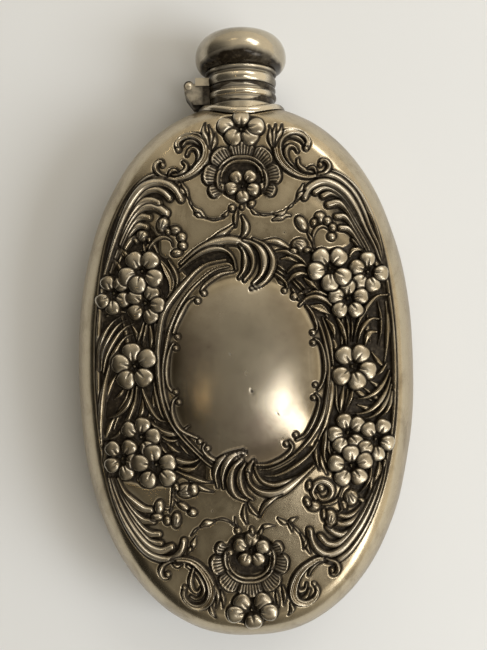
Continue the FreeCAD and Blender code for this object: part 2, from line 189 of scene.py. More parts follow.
def flower(cx, cy, petals, size=1.5, h=0.95, base=0.15, eye=0.55):
    """petals are the angles, or (angle, ring, size) for an uneven one."""
    for p in petals:
        ang, ring, sz = p if isinstance(p, tuple) else (p, size * 1.72, size)
        petal(cx, cy, ang, ring, sz, h, base)
    c = np.array([[cx + SHIFT, cy]])
    win, gx, gy = window(c, size * 1.3)
    dx, dy = gx - c[0, 0], gy - c[0, 1]
    r = np.hypot(dx, dy)
    deep = smooth(1 - r / (size * 0.95))
    hh, g = HEIGHT[win], GRIME[win]
    hh -= (0.55 * deep).astype(np.float32)
    np.maximum(g, 0.95 * smooth(1.35 - r / (size * 0.72)), out=g)
    th = np.arctan2(dy, dx)
    for p in petals:                              # fine rays out of the eye, between the petals
        ang = p[0] if isinstance(p, tuple) else p
        a = math.radians(ang + 36)
        off = np.abs(np.angle(np.exp(1j * (th - a)))) * r
        ray = np.exp(-(off / 0.13) ** 2) * smooth((r - 0.15) / 0.3) * smooth((size * 0.95 - r) / 0.5)
        hh += (0.22 * ray).astype(np.float32)
    ball(cx, cy, eye * 0.62, h=0.32, base=-0.2, groove=0.2, depth=0.1)


def flower_at(cx, cy, points, size, h=0.95, base=0.15, eye=0.55):
    """A flower whose petal middles are given."""
    flower(cx, cy, [(math.degrees(math.atan2(y - cy, x - cx)), math.hypot(x - cx, y - cy), size) for x, y in points],
           size, h, base, eye)


def polygon_mask(points, soft=0.5):
    """Soft mask of a closed smooth outline, 1 inside."""
    p = np.asarray(points, float) + np.array([SHIFT, 0])
    n = len(p)
    q = np.vstack([p[-1], p, p[:2]])
    line = []
    for i in range(1, n + 1):
        a, b, c, d = q[i - 1], q[i], q[i + 1], q[(i + 2) if i + 2 < len(q) else 2]
        for t in np.linspace(0, 1, 8, endpoint=False):
            line.append(0.5 * ((2 * b) + (c - a) * t + (2 * a - 5 * b + 4 * c - d) * t ** 2 + (3 * b - a - 3 * c + d) * t ** 3))
    line = np.asarray(line)
    win, gx, gy = window(line, 1.0)
    closed = np.vstack([line, line[:1]])
    inside = np.zeros(gx.shape, bool)
    x1, y1 = closed[:-1, 0], closed[:-1, 1]; x2, y2 = closed[1:, 0], closed[1:, 1]
    for a, b, c, d in zip(x1, y1, x2, y2):
        cross = ((b > gy) != (d > gy))
        if abs(d - b) > 1e-9:
            inside ^= cross & (gx < (c - a) * (gy - b) / (d - b) + a)
    dist, _, _ = nearest(closed[::2] if len(closed) > 120 else closed, gx, gy)
    return win, smooth((np.where(inside, dist, -dist) + soft * 0.3) / soft)


def sink(points, depth, grime, soft=0.5):
    win, m = polygon_mask(points, soft)
    HEIGHT[win] -= (depth * m).astype(np.float32)
    GRIME[win] = np.maximum(GRIME[win], grime * m)


def swell(cx, cy, rx, ry, h, power=2.0):
    """A gently domed field."""
    c = np.array([[cx + SHIFT, cy]])
    win, gx, gy = window(c, max(rx, ry) + 0.5)
    r = (np.abs((gx - c[0, 0]) / rx) ** power + np.abs((gy - c[0, 1]) / ry) ** power) ** (1 / power)
    HEIGHT[win] += (h * (1 - np.clip(r, 0, 1) ** 2.4)).astype(np.float32)


# ---- grounds: the sunk, dark panels each side of the cartouche frame
sink([(-25, 22), (-20, 23), (-17.8, 20), (-17.5, 16.8), (-15.5, 15.5), (-14.3, 12.5), (-14.8, 9), (-17, 5), (-18.3, 0), (-18.9, -6), (-18.6, -12),
      (-17.8, -16), (-16, -20), (-13.5, -23), (-10.5, -26.3), (-8.2, -29.5), (-9, -33.5), (-13, -32), (-17, -33.8), (-21, -33.8), (-25, -33),
      (-29, -32), (-31.2, -26), (-32.2, -18), (-32.6, -8), (-32.2, 0), (-31.2, 8), (-29.8, 13), (-27.6, 18)], 0.5, 1.0, 1.5)
sink([(25, 19.5), (22, 17.6), (16, 17.2), (11, 17.2), (7.5, 17), (6.8, 12.5), (9.5, 9.5), (13, 6), (15.5, 3.5), (17.5, 0), (18.8, -5), (18.8, -14),
      (17.4, -21), (15.6, -25.5), (15.8, -30), (18.3, -31.2), (22, -34), (25, -37), (27.5, -36.5), (30, -31), (32, -24), (33, -15),
      (33, -5), (32.4, 3), (31.3, 10), (30.4, 16), (28, 18.5)], 0.5, 1.0, 1.5)
# small sunk pockets
sink([(-13, 13.3), (-10.5, 15.2), (-8, 16.4), (-5, 17), (-2.6, 16), (-1.6, 14), (-4, 14.8), (-8, 13.9), (-11, 11.6)], 0.45, 1.0, 0.5)
sink([(3.2, -30), (6, -30.6), (10, -28.8), (13.8, -25.5), (15.4, -27), (14.6, -29.6), (11, -32), (7, -33.2), (4, -32.4)], 0.35, 1.0, 0.5)
sink([(-2.5, 36), (0.5, 36.6), (3.4, 36), (5.5, 34), (5.8, 31), (4, 28.8), (0.8, 27.6), (-2.6, 28.8), (-4.8, 31), (-4.8, 34)], 0.45, 1.0, 0.6)
sink([(-4.5, -48), (-4.5, -51), (-2, -53), (1, -53.4), (4.5, -52), (6.2, -49), (5.4, -46), (2, -44.2), (-1.5, -44.2), (-3.6, -45.6)], 0.45, 1.0, 0.6)
sink([(-4, 46.8), (-4.6, 44), (-3, 41.6), (0.4, 40.8), (3.8, 41.4), (5.6, 43.8), (4.8, 46.8), (0.4, 47.6)], 0.4, 0.9, 0.6)
sink([(-3.8, -60), (-3.6, -63.4), (0.4, -65), (5.4, -63.6), (6, -60.4), (4, -57.9), (0.6, -58.2), (-2.4, -57.9)], 0.4, 0.9, 0.6)

# ---- the panel's border, a chased line each side
for side in (-1, 1):
    pts = [(19.2, 34.6), (22.3, 33.4), (25.6, 30), (28.3, 25), (30.2, 20), (31.3, 14.5), (32.1, 8.5), (32.8, 2), (33.15, -5),
           (33.15, -13), (32.6, -21), (31.4, -28.5), (29.6, -35), (27.2, -41), (24.4, -45.8), (21.8, -49.2), (19.2, -51)]
    line = curve_points([(side * x, y) for x, y in pts])
    win, gx, gy = window(line, 1.6)
    d, t, s = nearest(line, gx, gy)
    fade = smooth(t * 12) * smooth((1 - t) * 12)
    HEIGHT[win] -= (0.42 * np.exp(-(d / 0.3) ** 2) * fade).astype(np.float32)
    GRIME[win] = np.maximum(GRIME[win], np.exp(-(d / 0.33) ** 2) * fade)
    inner = [(side * (x - 0.75), y) for x, y in pts[3:13]]
    stroke(inner, 0.42, 0.5, (0.3, 0.3), prof="round", groove=0.3, depth=0.1, shift=False)

# ---- cartouche field, gently domed
swell(0.5, -9.2, 16.6, 20.6, 1.25, 2.15)

# ---- upper left fan of long leaves
for pts in ([(-29.4, 14), (-27.8, 19), (-25.6, 24), (-23, 28), (-19.8, 31), (-15.6, 31.6), (-13.6, 29.4), (-15, 26.4), (-18, 25), (-20.2, 22), (-22, 19.6), (-24.4, 16), (-27, 14)],
            [(29.9, 15), (28, 20), (25.6, 25), (23, 29), (19.8, 31), (16, 31.2), (14.2, 29.4), (15.8, 27.8), (18, 26), (19.6, 23.4), (21.4, 20.8), (23.6, 18.4), (26.4, 16)],
            [(-29.6, -32), (-28, -37), (-25.6, -41.4), (-22.4, -45.6), (-18.8, -48.2), (-15, -48.4), (-13.8, -46.4), (-16, -45.2), (-18.4, -42.6), (-19.8, -39.4), (-22, -36.6), (-24.6, -34), (-27.4, -32)],
            [(30, -30), (28.4, -36), (26, -41), (22.6, -45.4), (19, -48.2), (15.6, -47.6), (14.2, -44.8), (16.2, -43), (18.6, -41.2), (20.8, -39.8), (24, -38), (26.6, -35.4), (28.6, -32)]):
    sink(pts, 0.14, 0.42, 3.0)
FAN = 1.06
for pts, w, h in [
    ([(-30.6, 10.5), (-29.8, 15), (-28.2, 20), (-26.3, 24.3), (-24.3, 28.6), (-22.3, 31.6), (-20.3, 33.3), (-18.6, 33.9)], .5, .6),
    ([(-30.2, 12), (-28.9, 17), (-27, 22), (-25, 26.5), (-22.5, 30.4), (-20.3, 32.3), (-18, 33.3), (-15.8, 33.3), (-14, 32.6)], .5, .65),
    ([(-28, 13.5), (-26.3, 17.8), (-24.9, 20.6), (-23.4, 22.4), (-22, 23.1), (-20.6, 22.8)], .62, .6),
    ([(-27.2, 14), (-25.6, 17.5), (-24.4, 19.5), (-23, 20.6)], .45, .5),
    ([(-28.4, 13), (-26.8, 17.5), (-25.2, 21.5), (-23.5, 24), (-21.8, 25), (-20, 24.8)], .7, .65),
    ([(-28.7, 13), (-26.8, 18.8), (-25.2, 22.8), (-23.6, 25.4), (-21.9, 26.9), (-20, 27.3), (-18, 26.9), (-16.2, 25.6)], .85, .8),
    ([(-29, 13.5), (-27, 19.5), (-25, 24.2), (-23, 27), (-21.2, 28.3), (-19.4, 28.6), (-17.8, 28)], .68, .65),
    ([(-29.6, 12.5), (-27.8, 18), (-25.8, 23.8), (-23.2, 28.4), (-20.9, 30.4), (-18.5, 30.9), (-16.7, 30.2), (-15.4, 28.9)], .7, .7),
    ([(-29.9, 12.5), (-28.2, 18), (-26.2, 23.5), (-24, 28), (-21.7, 31), (-19.6, 32.2), (-17.3, 32.4), (-15.3, 31.7), (-13.7, 30.2), (-12.9, 28.6)], .72, .85)]:
    stroke(pts, w * FAN, h * 1.12, (0.34, 0.88), 0.72, "blade2", groove=.36, depth=.4, base=-0.02)
# ---- upper right fan
for pts, w, h in [
    ([(31.2, 13.5), (30.7, 18), (29.4, 22.7), (27.6, 26.8), (25.4, 30.3), (23.2, 32.4), (20.8, 33.8), (19.2, 34)], .5, .6),
    ([(26.6, 16.4), (25.4, 18.2), (24.4, 19.2)], .4, .45),
    ([(27.6, 15.5), (26, 18.5), (24.7, 20.4), (23.3, 21.6), (21.7, 21.8)], .62, .6),
    ([(28.4, 15), (26.6, 18.5), (25.2, 21.4), (23.7, 23.4), (22.4, 24.3), (20.9, 24.3)], .65, .65),
    ([(29.2, 14.5), (27.2, 18.7), (25.6, 22), (24.1, 24.9), (22.6, 26.6), (21, 27.3), (19.2, 26.9)], .75, .7),
    ([(29.6, 14.5), (27.7, 19), (25.7, 22.8), (24, 26.2), (22.4, 28.4), (20.6, 29.4), (19.2, 29.4), (18, 28.8)], .6, .65),
    ([(30, 14.5), (28.4, 18.5), (26.2, 23), (24.2, 26.7), (22.6, 28.8), (21, 29.9), (19.3, 30.6), (17.7, 30.5), (16.3, 29.6)], .6, .7),
    ([(30.8, 14), (30, 18), (28.3, 21.5), (27, 25), (25.2, 28.6), (23.3, 31), (21.2, 32.7), (18.8, 33.5), (16.8, 33.3)], .6, .7),
    ([(30.4, 14), (29.2, 17.5), (27.2, 21.5), (25.4, 25.6), (23.6, 28.6), (21.7, 30.5), (19.7, 31.6), (18, 31.9), (16.3, 31.4), (14.8, 30.3), (13.9, 28.6)], .72, .85)]:
    stroke(pts, w * FAN, h * 1.12, (0.34, 0.88), 0.72, "blade", groove=.36, depth=.4, base=-0.02)
# ---- lower left fan
for pts, w, h in [
    ([(-30.9, -29), (-29.6, -35), (-27.8, -40), (-25.2, -44.6), (-22.5, -48), (-20.2, -49.6), (-17.6, -50.3)], .5, .6),
    ([(-27.8, -32), (-26.4, -35), (-24.3, -37.2), (-22.3, -38.6), (-20.7, -38.9)], .7, .65),
    ([(-28.3, -32.3), (-27, -35.6), (-25, -38.8), (-22.6, -41), (-20.2, -41.4)], .66, .65),
    ([(-28.7, -32), (-27.4, -35.6), (-25.4, -39.4), (-23, -42.6), (-21, -44), (-19, -44.2)], .66, .65),
    ([(-29, -32), (-27.7, -36), (-25.7, -40), (-23.4, -43.4), (-21.2, -45.6), (-18.6, -46.2)], .6, .6),
    ([(-29.3, -32), (-27.9, -36.2), (-26.2, -40.2), (-23.8, -44.2), (-21.2, -46.9), (-18.4, -47.8), (-16.3, -47)], .75, .75),
    ([(-30, -31), (-28.8, -35.7), (-26.9, -40.6), (-24.4, -44.9), (-21.8, -48), (-19, -49.4), (-16.5, -49.6), (-14.7, -48.5), (-13.8, -47), (-13.5, -45.6)], .62, .8)]:
    stroke(pts, w * FAN, h * 1.12, (0.34, 0.88), 0.72, "blade", groove=.36, depth=.4, base=-0.02)
# ---- lower right fan
for pts, w, h in [
    ([(31.3, -27.5), (30.3, -33), (28.6, -38), (26.5, -42.5), (24, -46.6), (21.8, -49.2), (19.4, -50.8), (17.5, -50.6)], .55, .7),
    ([(28, -33.5), (26.3, -37.5), (24.3, -40), (22, -41), (19.8, -40.5)], .5, .55),
    ([(28.4, -33), (26.8, -37.3), (24.8, -40.6), (22.8, -42.3), (20.8, -42.7), (19, -42.1)], .6, .65),
    ([(29, -32), (27.4, -36.6), (25.4, -40.5), (23.2, -43.8), (21, -45), (19, -44.4), (17.8, -43.1)], .62, .7),
    ([(29.8, -30.5), (28.4, -34.8), (26.6, -38.8), (24.5, -42.4), (22.3, -45.3), (19.8, -47), (17.6, -46.8), (16.1, -45.2)], .66, .7),
    ([(30.6, -29), (29.3, -33.8), (27.6, -38.2), (25.5, -42.3), (23, -45.8), (20.5, -48.3), (17.9, -49.2), (15.6, -48.2), (14.2, -46), (13.8, -43.8)], .66, .85)]:
    stroke(pts, w * FAN, h * 1.12, (0.34, 0.88), 0.72, "blade2", groove=.36, depth=.4, base=-0.02)

# ---- low leaves that fill the panels behind the flowers
for pts in [
    [(-26.5, 3.5), (-25.6, 0), (-25.2, -4), (-26, -8)], [(-17.9, 3), (-17.6, -1), (-18, -6), (-17.8, -11)], [(-30.6, -16), (-29.3, -12), (-27.4, -9)],
    [(-28.6, -21.4), (-27.4, -18), (-26, -15.4), (-24.8, -12)], [(-30.9, -24.5), (-29.6, -21), (-27.9, -18)], [(-21.9, -14), (-22.2, -17), (-23.4, -20)],
    [(-19.6, -13), (-19.9, -16.5), (-21.3, -19.6)], [(-19.5, -19.4), (-17.9, -23), (-15.4, -26)], [(-22, 17.5), (-19.5, 18.8), (-18.2, 17)],
    [(-26.8, 18.6), (-25, 16.4), (-24.4, 14.4)], [(-27.6, 15.6), (-26.4, 13.4), (-26, 11.4)], [(-24.4, 2), (-23, -1), (-22.6, -4)], [(-20.2, 1.8), (-19.9, -1.5), (-20.2, -4.6)],
    [(-29.8, 3.4), (-27.8, 4.4), (-25.4, 4.2)], [(-16.3, -27.6), (-14.4, -29.2), (-12.6, -30)], [(-23.6, -32.4), (-21.8, -33.4), (-19.8, -33.2)], [(-31, -26), (-30.6, -29), (-29.6, -31.4)],
    [(-17, -24.2), (-15.8, -25.6), (-14.2, -26.4)], [(-16, -22.6), (-14.6, -24.4), (-13.2, -25.6)],
    [(31.6, 5.6), (31.9, 1), (31.6, -4), (31, -8)], [(27.4, 2.6), (27.2, 0), (27.9, -3)], [(28.6, 8.2), (27.2, 7), (26.4, 5)], [(21.8, 2.6), (21.8, -0.5), (21.6, -4)],
    [(28.2, -5.4), (29.6, -7.4), (31.2, -9)], [(27.6, -11.6), (29.6, -13), (31.2, -14.4)], [(26.4, -13.2), (28.8, -15.2), (30.8, -17)], [(23.4, -12.4), (25.6, -14.4), (28, -16)],
    [(21.9, -12.6), (21.4, -15.6), (21, -18.4)], [(22.7, -13.4), (22.6, -16.2), (21.7, -19)], [(24.8, -16.8), (26.8, -17.6), (29, -18.6)], [(20.4, -25.6), (19.3, -28), (19.4, -31)],
    [(17, -26), (16.8, -29), (17.8, -31.6)], [(26.6, -31), (27.6, -33), (27.4, -35.6)], [(29.6, -28.4), (29.4, -31), (28.2, -34)], [(19.4, -1), (20.2, -4), (20.8, -6.6)],
    [(16.6, 8.8), (15.6, 10.4), (14.6, 12.6)], [(8.6, 15.2), (10.4, 15.4), (12.4, 14.4)], [(7.6, 11.4), (8.8, 10.2), (9.8, 9.4)], [(23.6, 15.4), (24.6, 17), (26.6, 17)],
    [(12.2, 7.4), (13.6, 8), (15.4, 8.4)], [(16.8, 5), (18, 3.8), (18.6, 2.2)], [(29, 15.4), (29.8, 13.6), (31, 12.6)], [(24.6, 14.6), (25, 12.6), (24, 10.4)]]:
    stroke(pts, .5, .42, (0.35, 0.3), 0.5, "blade" if pts[0][0] < 0 else "blade2", groove=.4, depth=.18, base=-0.4)

# ---- left panel: leaves, stems and blades
for pts, w, h, pr in [
    ([(-31.6, -8), (-31.3, -4), (-30.2, -0.5), (-28.4, 2), (-26.8, 3.2)], .5, .6, "blade2"),
    ([(-31.1, -8.5), (-30.5, -4.5), (-29.1, -1.2), (-27.1, 1.4), (-25.3, 2.5)], .5, .65, "blade2"),
    ([(-30.6, -9), (-29.7, -5), (-28.1, -2), (-26, 0.5), (-23.7, 1.8)], .5, .65, "blade2"),
    ([(-30.2, -10), (-28.9, -6.5), (-27.3, -3.4), (-25.7, -1.4), (-24, -0.5)], .5, .6, "blade2"),
    ([(-24, -12), (-24.6, -14.5), (-26, -16.8), (-27.8, -18.2), (-29.9, -18.9)], .5, .6, "blade"),
    ([(-23.2, -12), (-23.6, -15), (-24.8, -18), (-26.1, -20.5), (-28, -22.8), (-30.9, -23.8)], .48, .6, "blade"),
    ([(-25.8, -12.2), (-27, -13.8), (-28.5, -14.7)], .36, .5, "blade"),
    ([(-31.4, -25), (-31.3, -19.5), (-30.8, -14.5), (-30, -10.5), (-28.6, -6.4), (-27, -4.4)], .55, .8, "blade"),
    ([(-21.3, 2.6), (-21.8, 0.5), (-22.6, -1.7), (-23.2, -3)], .32, .6, "round"),
    ([(-20.6, 2.6), (-21, 0.4), (-21.6, -1.9), (-21.9, -3.2)], .3, .55, "round"),
    ([(-19.3, 3.8), (-18.7, 0.5), (-18.6, -3), (-19.2, -6.5)], .5, .75, "blade"),
    ([(-17.9, 15.8), (-16.4, 13.4), (-15.3, 11), (-15.4, 8.8), (-16.4, 7)], .75, .6, "flute"),
    ([(-15.9, 15.4), (-14.6, 13), (-14, 10.7), (-14.6, 8.6)], .45, .6, "blade"),
    ([(-17.4, 7.6), (-18, 6.2), (-19.4, 5)], .4, .5, "blade"),
    ([(-19.5, -11), (-19, -14), (-18.1, -17.5), (-17, -20)], .4, .55, "round"),
    ([(-22.2, -11.5), (-21.3, -14.5), (-19.9, -17.5), (-18.2, -19.3), (-16.1, -19.8)], .5, .8, "blade"),
    ([(-20.5, -19.6), (-18.5, -21.3), (-16.3, -22.3), (-14, -22.1), (-12, -20.7)], .6, .9, "blade"),
    ([(-18.4, -22.4), (-16.8, -23.6), (-15.2, -23.8), (-13.9, -23.3)], .35, .6, "blade"),
    ([(-18.4, -24.3), (-17.4, -26), (-15.9, -27.2)], .3, .5, "round"),
    ([(-13.4, -23.6), (-11.8, -25.6), (-10.4, -27.4)], .26, .5, "round"),
    ([(-14.2, -24.4), (-12.7, -26.2), (-11.6, -27.4)], .24, .5, "round"),
    ([(-12.4, -23.1), (-10.9, -25.1), (-9.7, -26.8)], .26, .5, "round"),
    ([(-14.8, -29.4), (-13, -30.1), (-11, -29.9), (-9.8, -28.7)], .5, .65, "blade"),
    ([(-18.1, -26.6), (-15.5, -27.7), (-13, -28.5), (-10.8, -28.3), (-9.3, -27.2)], .58, .85, "blade"),
    ([(-15, -30.4), (-12, -31.8), (-9.2, -32.7), (-7, -33)], .5, .6, "blade"),
    ([(-12, -32.6), (-9.5, -34.2), (-7, -35)], .45, .55, "blade")]:
    stroke(pts, w, h, (0.35, 0.2), 0.45, pr, base=-0.1)
# ---- right panel
for pts, w, h, pr in [
    ([(29.7, 5.6), (30.2, 2.5), (30.2, -1), (29.6, -3.8)], .3, .5, "round"),
    ([(29.3, -1), (28, -1.1), (27.1, -2.2), (26.6, -4.2)], .62, .6, "blade2"),
    ([(29.9, 1.8), (28.3, 1.9), (26.8, 0.8), (25.7, -1), (25, -3.6)], .45, .65, "blade2"),
    ([(31.8, 7.1), (29.6, 6.8), (27.8, 5.2), (26.2, 3), (25, 0.5), (24.2, -2.9)], .48, .85, "blade2"),
    ([(22.6, 2.8), (23, 0), (23, -3.4)], .26, .5, "round"),
    ([(23.8, 2.2), (23.9, 0), (23.7, -3)], .22, .45, "round"),
    ([(17.4, 2.4), (18.6, -1.5), (19.3, -5.5), (19.7, -10)], .42, .55, "round"),
    ([(18.2, 2), (19.2, 0.8), (19.8, -0.6), (20, -2.2)], .55, .7, "blade"),
    ([(20.1, 3), (21.3, 0.7), (22.2, -1.8), (22.6, -4)], .48, .85, "blade"),
    ([(15, 4.8), (17, 4.4), (19, 3.1)], .8, .35, "flute"),
    ([(12.4, 5), (14, 6.5), (16, 6.9), (18, 6.2), (19.5, 4.7), (20.3, 2.8)], .55, .8, "blade2"),
    ([(13.9, 7.3), (16, 8), (18, 7.4), (19.6, 6.2)], .38, .6, "blade2"),
    ([(13.6, 10.9), (15, 9.7), (16.6, 8.4)], .55, .7, "blade"),
    ([(11.4, 11), (12.9, 9.6), (14.2, 8.2)], .26, .5, "round"),
    ([(10.7, 10.8), (12, 9.3), (13.4, 7.9)], .26, .5, "round"),
    ([(7, 14.4), (8.5, 13.4), (10.1, 12.2)], .24, .45, "round"),
    ([(6.9, 13.2), (8.4, 12.3), (9.8, 11.3)], .24, .45, "round"),
    ([(9.9, 12.2), (11.5, 13.5), (13.5, 13.7), (15.2, 12.7)], .42, .6, "blade2"),
    ([(9.8, 10), (11.3, 11.5), (13.3, 12), (15, 11.1)], .48, .75, "blade2"),
    ([(7, 16.6), (9, 16.9), (11, 16.3), (13, 15.1), (14.6, 13.3)], .48, .7, "blade2"),
    ([(4.6, 18.9), (7.3, 19), (9.7, 18), (11.6, 16.7)], .6, .8, "blade2"),
    ([(31.5, -7.8), (30, -9.8), (28.2, -10.9)], .35, .5, "blade2"),
    ([(32, -9.4), (30.6, -12.2), (28.8, -14.2), (26.5, -15.3), (23.9, -15.6)], .48, .65, "blade2"),
    ([(32.2, -11), (31, -14.2), (29, -16.9), (26.5, -18.5), (23.1, -18.8)], .5, .75, "blade2"),
    ([(32.4, -12.5), (31.4, -15.6), (29.8, -18.1), (27.8, -19.5), (25.6, -19.9)], .45, .7, "blade2"),
    ([(32.5, -14), (31.9, -16.8), (30.7, -18.9), (29.3, -19.8)], .42, .7, "blade2"),
    ([(23.9, -12.6), (23.3, -15), (22.1, -18)], .36, .7, "blade"),
    ([(20, -10.4), (20, -14), (20.2, -17), (21.2, -19.3)], .32, .55, "round"),
    ([(27.8, -29), (27.3, -32), (26.3, -34.5), (24.6, -36.3)], .36, .55, "blade"),
    ([(15.6, -24.6), (15.4, -27.6), (16.1, -30.6)], .42, .6, "round"),
    ([(18.6, -22.8), (18.1, -25.6), (18.9, -28.2)], .36, .65, "blade"),
    ([(18.3, -20), (17.4, -24), (17.2, -27.5), (18.3, -30.6)], .45, .85, "blade")]:
    stroke(pts, w, h, (0.35, 0.2), 0.45, pr, base=-0.1)

# ---- the cartouche frame: outer, middle and inner ridges
stroke([(-3.4, 15.2), (-7.3, 14.4), (-9.9, 12.8), (-12.2, 10.4), (-14.3, 8), (-16.3, 5.4), (-17.4, 3), (-18, 0), (-18.5, -4), (-18.5, -8.3), (-18.2, -12),
        (-17.4, -16.3), (-16, -19.8), (-13.8, -23), (-11, -26), (-8.4, -28.6), (-6.6, -29.8)], .62, .95, (0.45, 0.3), 0.35, "blade", base=-0.05)
stroke([(-2.8, 13.7), (-5.7, 13), (-8.2, 11.3), (-10.8, 8.9), (-12.9, 6.2), (-14.5, 3.2), (-15.8, 0), (-16.6, -3.4), (-17.2, -7), (-17.3, -11.2), (-16.9, -14.4),
        (-15.9, -17.6), (-14.6, -20.5), (-12.6, -23.2), (-10.4, -25.6), (-8, -27.9), (-6.4, -29)], .36, .7, (0.5, 0.4), 0.4, "round", groove=0.3, base=0.0)
stroke([(15.2, 3.6), (16.3, 1.8), (17.2, -0.6), (18, -4), (18.5, -8), (18.45, -12), (17.9, -16), (16.6, -20), (14.7, -23.2), (12.4, -25.9), (10, -27.9), (7.4, -29.4),
        (5, -30.2), (2.9, -30.3)], .5, .9, (0.5, 0.3), 0.4, "blade2", base=-0.02)
stroke([(19.3, -8.5), (19.1, -13), (18.6, -17), (17.5, -21), (15.9, -24.4)], .6, .5, (0.4, 0.3), 0.4, "round", base=-0.12)
stroke([(15.9, -24.6), (14.2, -27), (11.6, -29.2), (8.6, -31), (5.8, -31.8), (3.3, -31.4)], .36, .65, (0.5, 0.3), 0.5, "round", base=0.0)
stroke([(14.9, -29.4), (11.4, -32), (8.6, -33.2), (6, -33.7), (3.7, -32.8), (2.4, -30.7), (2.1, -28.4)], .5, .75, (0.3, 0.5), 0.5, "blade2", base=0.0)
for pts in [
    [(-1.6, 12.6), (-4.4, 12.1), (-6.7, 10.8), (-8.2, 9.5), (-8.8, 8.5)],
    [(-10.2, 7.1), (-11.7, 6.1), (-13.2, 3.6), (-14.3, 1.3), (-14.9, -0.5)],
    [(-15, -2.7), (-15.8, -4.2), (-16.4, -6.7), (-16.6, -9.3), (-16.3, -11.7), (-15.5, -13)],
    [(-14.5, -14.4), (-15.3, -15.4), (-15.5, -17.5), (-14.8, -19.9), (-13.6, -21.5), (-11.6, -22.6), (-10.2, -23.2)],
    [(-8.6, -24.5), (-9, -25.6), (-7.8, -27.3), (-5.6, -28.5)],
    [(2.4, -29.2), (5, -29.2), (7.7, -28.2), (9.7, -26.6), (10.3, -25.3), (9.6, -24.3)],
    [(11.2, -24), (13.2, -22.9), (15, -20), (16, -17.3), (16.3, -15.4), (15.6, -14.3)],
    [(16.1, -13.4), (17, -12), (17.6, -10), (17.7, -7.6), (17.3, -4.8), (16.6, -3), (15.7, -2.3)],
    [(15.9, -0.6), (16.1, 0.4), (15.7, 1.8), (15, 3.5), (13.9, 5)],
    [(12.3, 6.3), (11.5, 7.6), (10.9, 8.6)],
    [(9.8, 8.9), (9.5, 10), (8.3, 11.2), (6.6, 12.4)]]:
    stroke(pts, .34, .72, (0.55, 0.75), 0.5, "round", groove=0.34, depth=0.25, base=0.12)
for x, y, r in [(-8.2, 8, .62), (-9.6, 6.4, .66), (-14.1, -1.3, .62), (-14.5, -3.7, .64), (-14.7, -13.2, .6), (-14.1, -15.4, .64), (-9.7, -24, .62), (-8, -25.5, .62),
                (9, -24.8, .62), (11.1, -22.9, .62), (15.1, -15, .62), (15.5, -12.2, .58), (15.2, -3.1, .66), (15.2, -0.9, .66), (11.3, 7, .75), (9.2, 8.3, .6)]:
    ball(x, y, r, h=.62, base=.2, groove=.3)

# ---- the leaf wraps above and below the cartouche
for pts, w, h in [
    ([(-0.7, 26.2), (-1.1, 24.4), (-1.2, 22.4)], .35, .5),
    ([(-6.8, 19.4), (-3.8, 20.9), (-1.6, 22.6)], .5, .6),
    ([(-0.2, 19.6), (0.9, 21), (1.1, 22.8), (0.4, 24.6)], .62, .65),
    ([(-13.2, 14.4), (-10, 17), (-6.5, 18.7), (-2.6, 19.4), (0.4, 18.6), (2, 16.9), (2.6, 14.8), (2.1, 12.6), (0.6, 10.7)], .8, .85),
    ([(-13.6, 13), (-11, 15.2), (-8.2, 16.9), (-5.4, 17.6), (-3.1, 17), (-1.7, 15.3), (-1.2, 13)], .5, .95),
    ([(-0.4, 18.2), (0.6, 16.8), (0.9, 14.8), (0.5, 12.8), (-0.6, 11.2)], .55, .8),
    ([(0.6, 19.4), (3, 18.5), (4.6, 16.6), (5, 14.2), (4.3, 11.9), (2.5, 9.9)], .8, .95),
    ([(2.6, 19.6), (5.2, 18.2), (6.7, 15.8), (6.8, 13.6), (5.8, 11.3), (4, 9.6), (2, 8.9)], .62, 1.0)]:
    stroke(pts, w, h, (0.3, 0.35), 0.5, "blade2", groove=0.5, depth=0.3, base=0.05)
for pts, w, h in [
    ([(-0.4, -26.1), (-3.2, -27), (-5.6, -28.6), (-6.5, -31), (-6, -34)], .6, .75),
    ([(0.2, -26.4), (-2.3, -27), (-4.2, -29), (-4.9, -31.6), (-4.7, -34.2)], .62, 1.0),
    ([(-0.6, -28), (-2.4, -29.6), (-3.2, -31.7), (-3.1, -34), (-1.9, -36), (0.2, -37)], .75, 1.0),
    ([(0, -29), (-1, -30.7), (-1.2, -33), (-0.2, -35.4), (1.6, -36.8)], .65, .8),
    ([(1.8, -28.4), (0.8, -30), (0.6, -31.8), (1.4, -33.4)], .6, .75),
    ([(0.5, -31), (0.9, -33), (2.6, -34.8), (5.2, -35.6), (7.8, -35.2), (11, -33), (14.9, -29.7)], .8, 1.05),
    ([(7.8, -35.9), (5.8, -36.8), (4, -38.4), (2.9, -40.6)], .45, .65),
    ([(-0.2, -38.2), (-0.4, -40), (0.2, -42)], .4, .5),
    ([(0.6, -37.6), (1.4, -39.2), (2.8, -40.4)], .36, .45)]:
    stroke(pts, w, h, (0.35, 0.3), 0.5, "blade", groove=0.5, depth=0.3, base=0.05)

